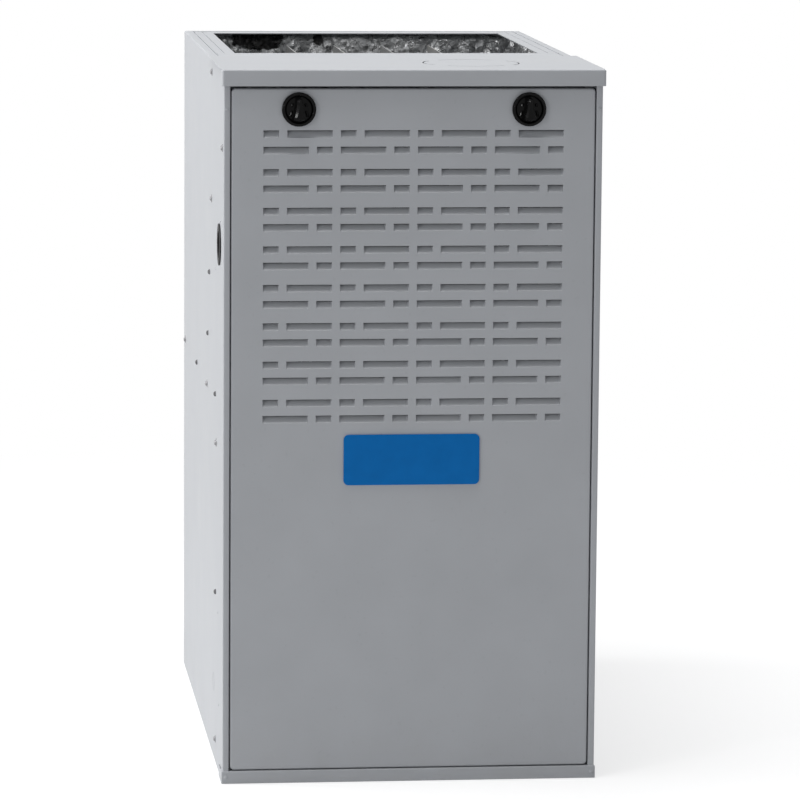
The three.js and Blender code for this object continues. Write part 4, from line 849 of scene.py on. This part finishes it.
# ---- the casing
JAMB = HALF - 7.5 * mm
LEDGE = JAMB - 12 * mm
LEDGE_DEPTH = 18 * mm
SIDE_FLANGE = 35 * mm
BACK_FLANGE = 45 * mm
GROOVES = (10.8 * mm, 21.9 * mm)  # from the casing's edge
GROOVE_DEPTH = 0.9 * mm
GROOVE_SECTION = (-1.6, -0.6, -0.4, 0.4, 0.6, 1.6)  # mm across a groove
LEDGE_DROP = 0.25 * mm  # past the first groove the flange lies under the burner wall's edge
GAS_HOLE = 22 * mm
GAS_PATCH = 34 * mm
SIDE_START = 20 * mm  # behind the front, where the jamb's sheet meets the side's
BACK_CORNER = 3 * mm


def casing_front(side):
    """The door jamb: its plan (ledge, jamb, front strip, start of the side) carried up the height,
    with the same lines as the side that it runs into."""
    corners = [(LEDGE, LEDGE_DEPTH), (JAMB, LEDGE_DEPTH), (JAMB, 0), (HALF, 0), (HALF, SIDE_START)]
    plan = rounded_path(corners, [1 * mm, BEND, BEND])
    hole = GAS_Z + ring_lines(GAS_HOLE, GAS_PATCH)
    up = np.array([CASING_Z[0], *hole, CASING_Z[1] - BEND, CASING_Z[1]])[None, :]
    grid = placed(side * plan[:, :1], behind(plan[:, 1:]), up, "z")
    return patch(grid, flip=side < 0)


def casing_round():
    """Sides, back and top flanges in one sheet: the plan of the sides and back is carried up the
    height, and over a quarter circle of the bend radius it turns inwards into the flanges, each
    drawn in by its own width. A block of lines on the left side is rounded for the gas entry."""
    t = quarter(6)
    hole = ring_lines(GAS_HOLE, GAS_PATCH)
    rise = [0, *(GAS_Z + hole), *(CASING_Z[1] - BEND * (1 - np.sin(t)))]
    inward = [0] * (len(hole) + 1) + list(BEND * (1 - np.cos(t)))
    flange = []
    for middle, before in zip(GROOVES, (0, LEDGE_DROP)):
        drops = (before, before, GROOVE_DEPTH, GROOVE_DEPTH, LEDGE_DROP, LEDGE_DROP)
        flange += [(middle + way * mm, drop) for way, drop in zip(GROOVE_SECTION, drops)]
    flange.append((SIDE_FLANGE - 0.2 * mm, LEDGE_DROP))
    cases = [(w, w, z) for w, z in zip(inward, rise)]
    cases += [(w, BACK_FLANGE if w > GROOVES[1] + 2 * mm else w, CASING_Z[1] - d) for w, d in flange]
    rows = []
    for side_in, back_in, z in cases:
        x, y = HALF - side_in, CASING_Y[1] - back_in
        start = behind(SIDE_START)
        corners = [(-x, start), (-x, y), (x, y), (x, start)]
        path = rounded_path(corners, [max(BACK_CORNER - side_in, 0.05 * mm)] * 2)
        beside = np.stack([0 * hole - x, GAS_Y + hole], -1)
        path = np.concatenate([path[:1], beside, path[1:]])
        rows.append(placed(path[:, 0], path[:, 1], z, "z"))
    grid = np.array(rows)
    side = grid[:, 1:len(hole) + 1]
    size = np.maximum(np.abs(side[..., 1] - GAS_Y), np.abs(side[..., 2] - GAS_Z))
    cut = np.zeros(grid.shape[:2], bool)
    cut[:, 1:len(hole) + 1] = size < GAS_HOLE + 0.01 * mm
    moved = rounded_block(side[..., 1] - GAS_Y, side[..., 2] - GAS_Z, GAS_HOLE, GAS_PATCH)
    side[..., 1], side[..., 2] = GAS_Y + moved[0], GAS_Z + moved[1]
    keep = ~(cut[:-1, :-1] & cut[1:, :-1] & cut[:-1, 1:] & cut[1:, 1:])
    return patch(grid, keep=keep)


def build_casing():
    """The wrapper: both jambs and the sheet round the sides, back and top, merged."""
    parts = [casing_front(1), casing_front(-1), casing_round()]
    piece("folded_casing", parts, "casing", "casing_paint", ("casing_wrapper",), SHEET)


VENT_RADIUS = 58 * mm
VENT_SLIT = 1.8 * mm
VENT_PATCH = 66 * mm
VENT_TAB = 0.07  # half a tab, as a share of a quarter turn
FOLDED_END = 15 * mm  # how far back the lip turns the corner
RELIEF = 0.05 * mm  # the cut between the folded ends and the flat edge behind them


def build_top_plate():
    """The top plate: a flat panel that folds down in front into the lip and round both ends.
    Behind a relief cut its side edges stay flat. A block of lines is rounded round the vent disc,
    and the slit is the ring of faces left out between four tabs."""
    vent = np.append(ring_lines(VENT_RADIUS, VENT_PATCH, 14, 2),
                     [VENT_SLIT - VENT_RADIUS, VENT_RADIUS - VENT_SLIT])
    end = PLATE_Y[0] + FOLDED_END
    across = np.unique(np.append(np.array(PLATE_X) + np.array([2, -2]) * BEND, VENT[0] + vent))
    lines = [PLATE_Y[0] + 2 * BEND, end, end + RELIEF, PLATE_Y[1]]
    up = np.unique(np.append(lines, VENT[1] + vent))

    def turn(x, y, down):
        flat = y > end + RELIEF / 2
        u, v = rounded_block(x - VENT[0], y - VENT[1], VENT_RADIUS, VENT_PATCH)
        return placed(VENT[0] + u, VENT[1] + v, PLATE_Z[1] - np.where(flat, 0, down), "z")

    def keep(x, y):
        mx, my = (x[:-1, :-1] + x[1:, 1:]) / 2, (y[:-1, :-1] + y[1:, 1:]) / 2
        u, v = mx - VENT[0], my - VENT[1]
        size = np.maximum(np.abs(u), np.abs(v))
        share = (np.arctan2(v, u) / (math.pi / 2) + 0.5) % 1
        open_arc = (share > VENT_TAB) & (share < 1 - VENT_TAB)
        slit = open_arc & (size > VENT_RADIUS - VENT_SLIT) & (size < VENT_RADIUS)
        folded = np.abs(mx) > PLATE_X[1] - 2 * BEND
        torn = folded & (my > end) & (my < end + RELIEF)
        beyond = (np.abs(mx) > PLATE_X[1] - 0.01 * mm) & (my > end)
        return ~(slit | torn | beyond)

    lip = PLATE_Z[1] - PLATE_Z[0]
    panel = folded_panel(across, up, 2 * BEND, BEND, (lip, lip, lip, 0), 0, keep=keep, turn=turn)
    piece("folded_top_plate", [panel], "casing", "casing_paint", ("top_plate",), SHEET)


RAIL_CORNER = 1.5 * mm
RAIL_BEND = 1.2 * mm
RAIL_LEDGE = 17 * mm  # how far its top edge reaches back


def build_rail():
    """The kick rail: front face with its top edge folded back under the door and its ends
    wrapped round the casing."""
    across = np.linspace(RAIL_X[0] + RAIL_CORNER, RAIL_X[1] - RAIL_CORNER, 3)
    up = np.array([RAIL_Z[0], RAIL_Z[1] - RAIL_CORNER])
    wrap = RAIL_Y[1] - RAIL_Y[0]
    face = folded_panel(across, up, RAIL_CORNER, RAIL_BEND, (wrap, wrap, 0, RAIL_LEDGE), RAIL_Y[0])
    piece("kick_rail", [face], "casing", "door_paint", ("bottom_rail",), SHEET)


# ---- small fasteners and marks
FOOT = -0.3 * mm  # the heads start inside the sheet


def head(profile, axis, outward):
    """A head: its (radius, height) profile turned round an axis, from its foot in the sheet."""
    return turned([(r, outward * h) for r, h in [(0, FOOT), *profile]], axis=axis, sides=18)


def screw_shape(radius, height, axis, outward):
    """A washer-head screw: a round washer that swells into a shallow domed head."""
    dome = [(radius * 0.62 * math.cos(a), height * (0.55 + 0.45 * math.sin(a))) for a in quarter(5)]
    return head([(radius, FOOT), (radius, height * 0.16), (radius * 0.92, height * 0.22),
                 (radius * 0.64, height * 0.26), *dome], axis, outward)


def button_head(radius, height, axis, outward):
    """A button head: a quarter ellipse turned about the axis."""
    dome = [(radius * math.cos(a), height * math.sin(a)) for a in quarter(7)]
    return head([(radius, FOOT), *dome], axis, outward)


RING_HALF = 0.5 * mm
RING_RELIEF = 0.25 * mm


def ring_mark(radius, outward):
    """A pressed ring: a low half-round ridge turned about the x axis."""
    t = np.linspace(0, math.pi, 7)
    profile = [(radius + RING_HALF * math.cos(a), outward * RING_RELIEF * math.sin(a)) for a in t]
    return turned(profile, axis="x", sides=40)


# What sits on both sides: name, form, radius and height in mm, slot, its own finish, and the
# places in mm behind the front and above the floor.
SIDE_SETS = (
    ("screws", screw_shape, 4.8, 2.7, "zinc_sheet", plated,
     [(200, 829), (21, 753), (203, 676), (279, 440), (700, 440), (115, 391), (121, 28)]),
    # The heads' dark finish is partly painted shade.
    ("heads", button_head, 3.3, 2.7, "zinc_sheet", dull,
     [(236, 583), (261, 505), (466, 441), (130, 448), (120, 209)]),
    ("dimples", screw_shape, 2.1, 0.7, "casing_paint", None,
     [(51, 663), (129, 599), (80, 191), (61, 82)]),
)
KNOCKOUT = (155 * mm, 92 * mm, 11.5 * mm)  # behind the front, above the floor, and its radius


def build_side_fasteners():
    """Screws, heads, dimples and knock-out rings on both sides. The right side has a ring where
    the left one has its gas entry."""
    for side, x, outward in (("left", CASING_X[0], -1), ("right", CASING_X[1], 1)):
        for name, form, radius, height, slot, finish, places in SIDE_SETS:
            shape = form(radius * mm, height * mm, "x", outward)
            spots = [(x, behind(y * mm), z * mm) for y, z in places]
            piece(f"side_{name}_{side}", [repeated(shape, spots)], "casing", slot, closed=True,
                  material=finish)
        y, z, radius = KNOCKOUT
        rings = [repeated(ring_mark(radius, outward), [(x, behind(y), z)])]
        if side == "right":
            rings.append(repeated(ring_mark(GAS_HOLE, outward), [(x, GAS_Y, GAS_Z)]))
        piece(f"knockout_rings_{side}", rings, "casing", "casing_paint")


def build_front_fasteners():
    """Rivets on the two front strips, level with the knobs, and the rail's screws."""
    x = (HALF + JAMB) / 2
    rivet = screw_shape(2.5 * mm, 1.1 * mm, "y", -1)
    rivets = repeated(rivet, [(-x, FRONT, KNOB_Z), (x, FRONT, KNOB_Z)])
    piece("strip_rivets", [rivets], "casing", "casing_paint", closed=True)
    for side in ("left", "right"):
        node = f"rail_screw_{side}"
        x, _, z = centre_of(node)
        screw = repeated(screw_shape(3.2 * mm, 1.9 * mm, "y", -1), [(x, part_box(node)[1].y, z)])
        piece(f"{node}_domed", [screw], "casing", "door_paint", (node,), closed=True)


# ---- heat exchanger
def serpentine(y, z, front, back_turn, front_turn, levels):
    """The distance from a point to the flue path: straight passes at each level joined by half
    circles, at the back after even passes and at the front after odd ones."""
    turn = (levels[1] - levels[0]) / 2
    nearest = np.full(y.shape, 1.0)
    for i, level in enumerate(levels):
        start = front if i in (0, len(levels) - 1) else front_turn
        along = np.clip(y, start, back_turn)
        nearest = np.minimum(nearest, np.hypot(y - along, z - level))
    for i, level in enumerate(levels[:-1]):
        at_back = i % 2 == 0
        cy, cz = (back_turn if at_back else front_turn), level + turn
        beyond = (y - cy) * (1 if at_back else -1)
        arc = np.abs(np.hypot(y - cy, z - cz) - turn)
        nearest = np.where(beyond >= 0, np.minimum(nearest, arc), nearest)
    return nearest


CELL_GRID = 120
PASS_HALF = 22 * mm  # half the height of a pass
SEAM = 18 * mm  # width of the flat edge
SEAM_HALF = 0.7 * mm  # half its thickness
BEAD_RISE = 0.35 * mm
BEAD_WIDTH = 4 * mm


def build_cell(number):
    """One clamshell: both halves are one height field over (y, z). Round the serpentine flue path
    it is a plateau: one less the 2.6th power of the distance to the path, all to the power 0.55.
    Beside it runs a bead, half a sine, and beyond lies the flat seam. A wall closes the shell all
    round, also over the ends of the first and last passes."""
    node = f"heat_exchanger_cell_{number}"
    low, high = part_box(node)
    middle, half = (low.x + high.x) / 2, (high.x - low.x) / 2
    margin = SEAM + PASS_HALF
    levels = np.linspace(low.z + margin, high.z - margin, 4)
    turn = (levels[1] - levels[0]) / 2
    y = np.linspace(low.y, high.y, CELL_GRID)[:, None]
    z = np.linspace(low.z, high.z, CELL_GRID)[None]
    y, z = y + 0 * z, z + 0 * y
    distance = serpentine(y, z, low.y - 0.05, high.y - margin - turn, low.y + margin + turn, levels)
    swell = np.clip(1 - (distance / PASS_HALF) ** 2.6, 0, 1) ** 0.55
    bead = BEAD_RISE * np.sin(np.clip((distance - PASS_HALF) / BEAD_WIDTH, 0, 1) * math.pi)
    height = SEAM_HALF + (half - SEAM_HALF) * swell + bead
    parts = [patch(placed(y, z, middle + side * height, "x"), flip=side > 0) for side in (1, -1)]
    along, last = np.arange(CELL_GRID), CELL_GRID - 1
    rim = np.concatenate([along * CELL_GRID, last * CELL_GRID + along,
                          last + along[::-1] * CELL_GRID, along[::-1]])
    parts.append(patch(np.stack([parts[0][0][rim], parts[1][0][rim]])))
    piece(f"clamshell_cell_{number}", parts, "casing", "coated_sheet", (node,), closed=True)


# ---- foil lining
def crumple(u, v, seed, size):
    """Crumpled foil: a sum of triangle waves, each along a random direction and slightly warped, so
    that the facets are flat and the creases between them sharp both ways."""
    draw = np.random.default_rng(seed)
    total = np.zeros(np.broadcast(u, v).shape)
    for octave in range(4):
        for _ in range(3):
            angle = draw.uniform(0, math.pi)
            phase = draw.uniform(0, 1)
            wave = size * 0.6 ** octave
            warp = 0.2 * np.sin((u - v) / (wave * 1.7) + phase * 9)
            place = (u * math.cos(angle) + v * math.sin(angle)) / wave + phase + warp
            total += np.abs(place % 1 - 0.5) * 0.62 ** octave
    return (total - total.min()) / (total.max() - total.min())


FOIL_GRID = 190
FOIL_EDGE = 9 * mm  # width of its rounded edge
CRUMPLE_SIZE = 30 * mm
CRUMPLE_SHARE = 0.8  # of the blanket's thickness


def foil_blanket(side, seed, axis, finish=None):
    """A blanket on a wall: a closed skin, flat against the wall and crumpled on its open face,
    which falls off at its edges as a quarter sine to the power 0.7. The axis goes through it."""
    node = f"insulation_{side}"
    low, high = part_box(node)
    flat, long, face = AXES[axis]
    inward = -1 if (low[face] + high[face]) > 0 else 1
    wall, inner = (high[face], low[face]) if inward < 0 else (low[face], high[face])
    u = np.linspace(low[flat], high[flat], FOIL_GRID)[:, None]
    v = np.linspace(low[long], high[long], FOIL_GRID)[None]
    u, v = u + 0 * v, v + 0 * u
    edge = np.minimum(np.minimum(u - low[flat], high[flat] - u),
                      np.minimum(v - low[long], high[long] - v))
    pillow = np.sin(np.clip(edge / FOIL_EDGE, 0, 1) * math.pi / 2) ** 0.7
    folds = CRUMPLE_SHARE * crumple(u, v, seed, CRUMPLE_SIZE)
    depth = abs(inner - wall) * pillow * (1 - folds)
    parts = [patch(placed(u, v, wall + inward * d, axis)) for d in (depth, 0 * depth)]
    made = piece(f"foil_blanket_{side}", parts, "casing", "foil_lining", (node,), closed=True,
                 smooth=math.radians(16), material=finish)


# ---- build everything
dress_nodes()
build_door()
build_badge()
build_knob("knob_left", "left_knob", -KNOB_X)
build_knob("knob_right", "right_knob", KNOB_X)
build_casing()
build_top_plate()
build_rail()
build_side_fasteners()
build_front_fasteners()
for cell in (1, 2, 3, 4):
    build_cell(cell)
foil_blanket("left", 11, "x")
foil_blanket("right", 12, "x")
foil_blanket("back", 13, "y", shaded_foil)
for node in SLOT_OF:
    if node not in stood_for:
        eased(node)


# ---- camera, floor and light
CAMERA_PLACE = (-0.6048, behind(-5.3505), 1.2276)
CAMERA_YAW = 0.10995
CAMERA_PITCH = 0.1421
CAMERA_ROLL = 0.0078
CAMERA_LENS = 208.15


def build_camera():
    """The camera at the photograph's angle: yaw to the right, pitch down, a slight roll."""
    yaw, pitch, roll = CAMERA_YAW, CAMERA_PITCH, CAMERA_ROLL
    forward = Vector((math.sin(yaw) * math.cos(pitch), math.cos(yaw) * math.cos(pitch),
                      -math.sin(pitch)))
    right = Vector((math.cos(yaw), -math.sin(yaw), 0))
    up = right.cross(forward)
    level_right = right * math.cos(roll) + up * math.sin(roll)
    level_up = up * math.cos(roll) - right * math.sin(roll)
    lens = bpy.data.cameras.new("camera")
    lens.lens = CAMERA_LENS
    lens.sensor_width = 36
    camera = linked("camera", lens)
    turn = Matrix((level_right, level_up, -forward)).transposed()
    camera.matrix_world = Matrix.Translation(Vector(CAMERA_PLACE)) @ turn.to_4x4()
    bpy.context.scene.camera = camera


AIM = (0, 0, 0.45)  # what every lamp faces


def lamp(name, place, size, watts):
    """A square area lamp."""
    light = bpy.data.lights.new(name, "AREA")
    light.size = size
    light.energy = watts
    item = linked(name, light)
    item.location = place
    item.rotation_mode = "QUATERNION"
    item.rotation_quaternion = (Vector(AIM) - Vector(place)).to_track_quat("-Z", "Y")


class Backdrop(Graph):
    """The nodes of the floor or the world, which only light the object."""

    def __init__(self, tree, kind):
        self.tree = tree
        self.tree.nodes.clear()
        self.output = self.node(kind)
        path = self.node("LightPath")
        seen = Number(self, path.outputs["Is Camera Ray"]) + Number(self, path.outputs["Is Glossy Ray"])
        self.seen = seen + Number(self, path.outputs["Is Transmission Ray"])

    def show(self, lit, seen):
        """Light the object with the first shader and show the second to the eye and to gloss."""
        mix = self.node("MixShader", {0: self.seen, 1: lit, 2: seen})
        self.link(self.output.inputs["Surface"], mix.outputs[0])


WORLD_LIGHT = 0.25
FLOOR_HALF = 12.0
FLOOR_DROP = 0.5 * mm  # below the object
FLOOR_TINT = (0.86, 0.86, 0.86)
FLOOR_FADE = (0.9, 2.2)  # metres from the object over which the shadow gives way to white
FLOOR_GLOW = 0.65  # what the floor shows of itself, so that only a soft shadow is left on white


def build_world():
    """Even soft light all round, seen as plain white."""
    world = bpy.data.worlds.new("studio")
    bpy.context.scene.world = world
    world.use_nodes = True
    g = Backdrop(world.node_tree, "OutputWorld")
    soft = g.node("Background", {0: (0.95, 0.97, 1.0), 1: WORLD_LIGHT})
    white = g.node("Background", {0: (1.0, 1.0, 1.0), 1: 1.0})
    g.show(soft.outputs[0], white.outputs[0])


def build_floor():
    """A large pale floor just under the object, white where no shadow falls."""
    x, y = np.meshgrid([-FLOOR_HALF, FLOOR_HALF], [-FLOOR_HALF, FLOOR_HALF])
    points, faces = patch(placed(x, y, -FLOOR_DROP, "z"), flip=True)
    mesh = bpy.data.meshes.new("floor")
    mesh.from_pydata(points.tolist(), [], faces.tolist())
    floor = linked("floor", mesh)
    material = bpy.data.materials.new("pale floor")
    material.use_nodes = True
    g = Backdrop(material.node_tree, "OutputMaterial")
    pale = g.node("BsdfDiffuse", {"Color": FLOOR_TINT})
    half = g.node("BsdfDiffuse", {"Color": (0.5, 0.5, 0.5)})
    glow = g.node("Emission", {"Color": (1.0, 1.0, 1.0), "Strength": FLOOR_GLOW})
    near = g.node("AddShader", {0: half.outputs[0], 1: glow.outputs[0]})
    white = g.node("Emission", {"Color": (1.0, 1.0, 1.0), "Strength": 1.0})
    place = g.node("TexCoord").outputs["Object"]
    distance = g.node("VectorMath", {0: place}, operation="LENGTH").outputs["Value"]
    fade = g.range(distance, *FLOOR_FADE)
    both = g.node("MixShader", {0: fade, 1: near.outputs[0], 2: white.outputs[0]})
    g.show(pale.outputs[0], both.outputs[0])
    mesh.materials.append(material)


bpy.context.scene.view_settings.view_transform = "Standard"
build_camera()
build_world()
build_floor()
lamp("left", (-5.5, 0.9, 1.2), 3.0, 150)
lamp("top", (-0.8, -0.3, 5.4), 3.0, 182)
lamp("glint", (-3.14, -2.93, 1.4), 0.3, 16)
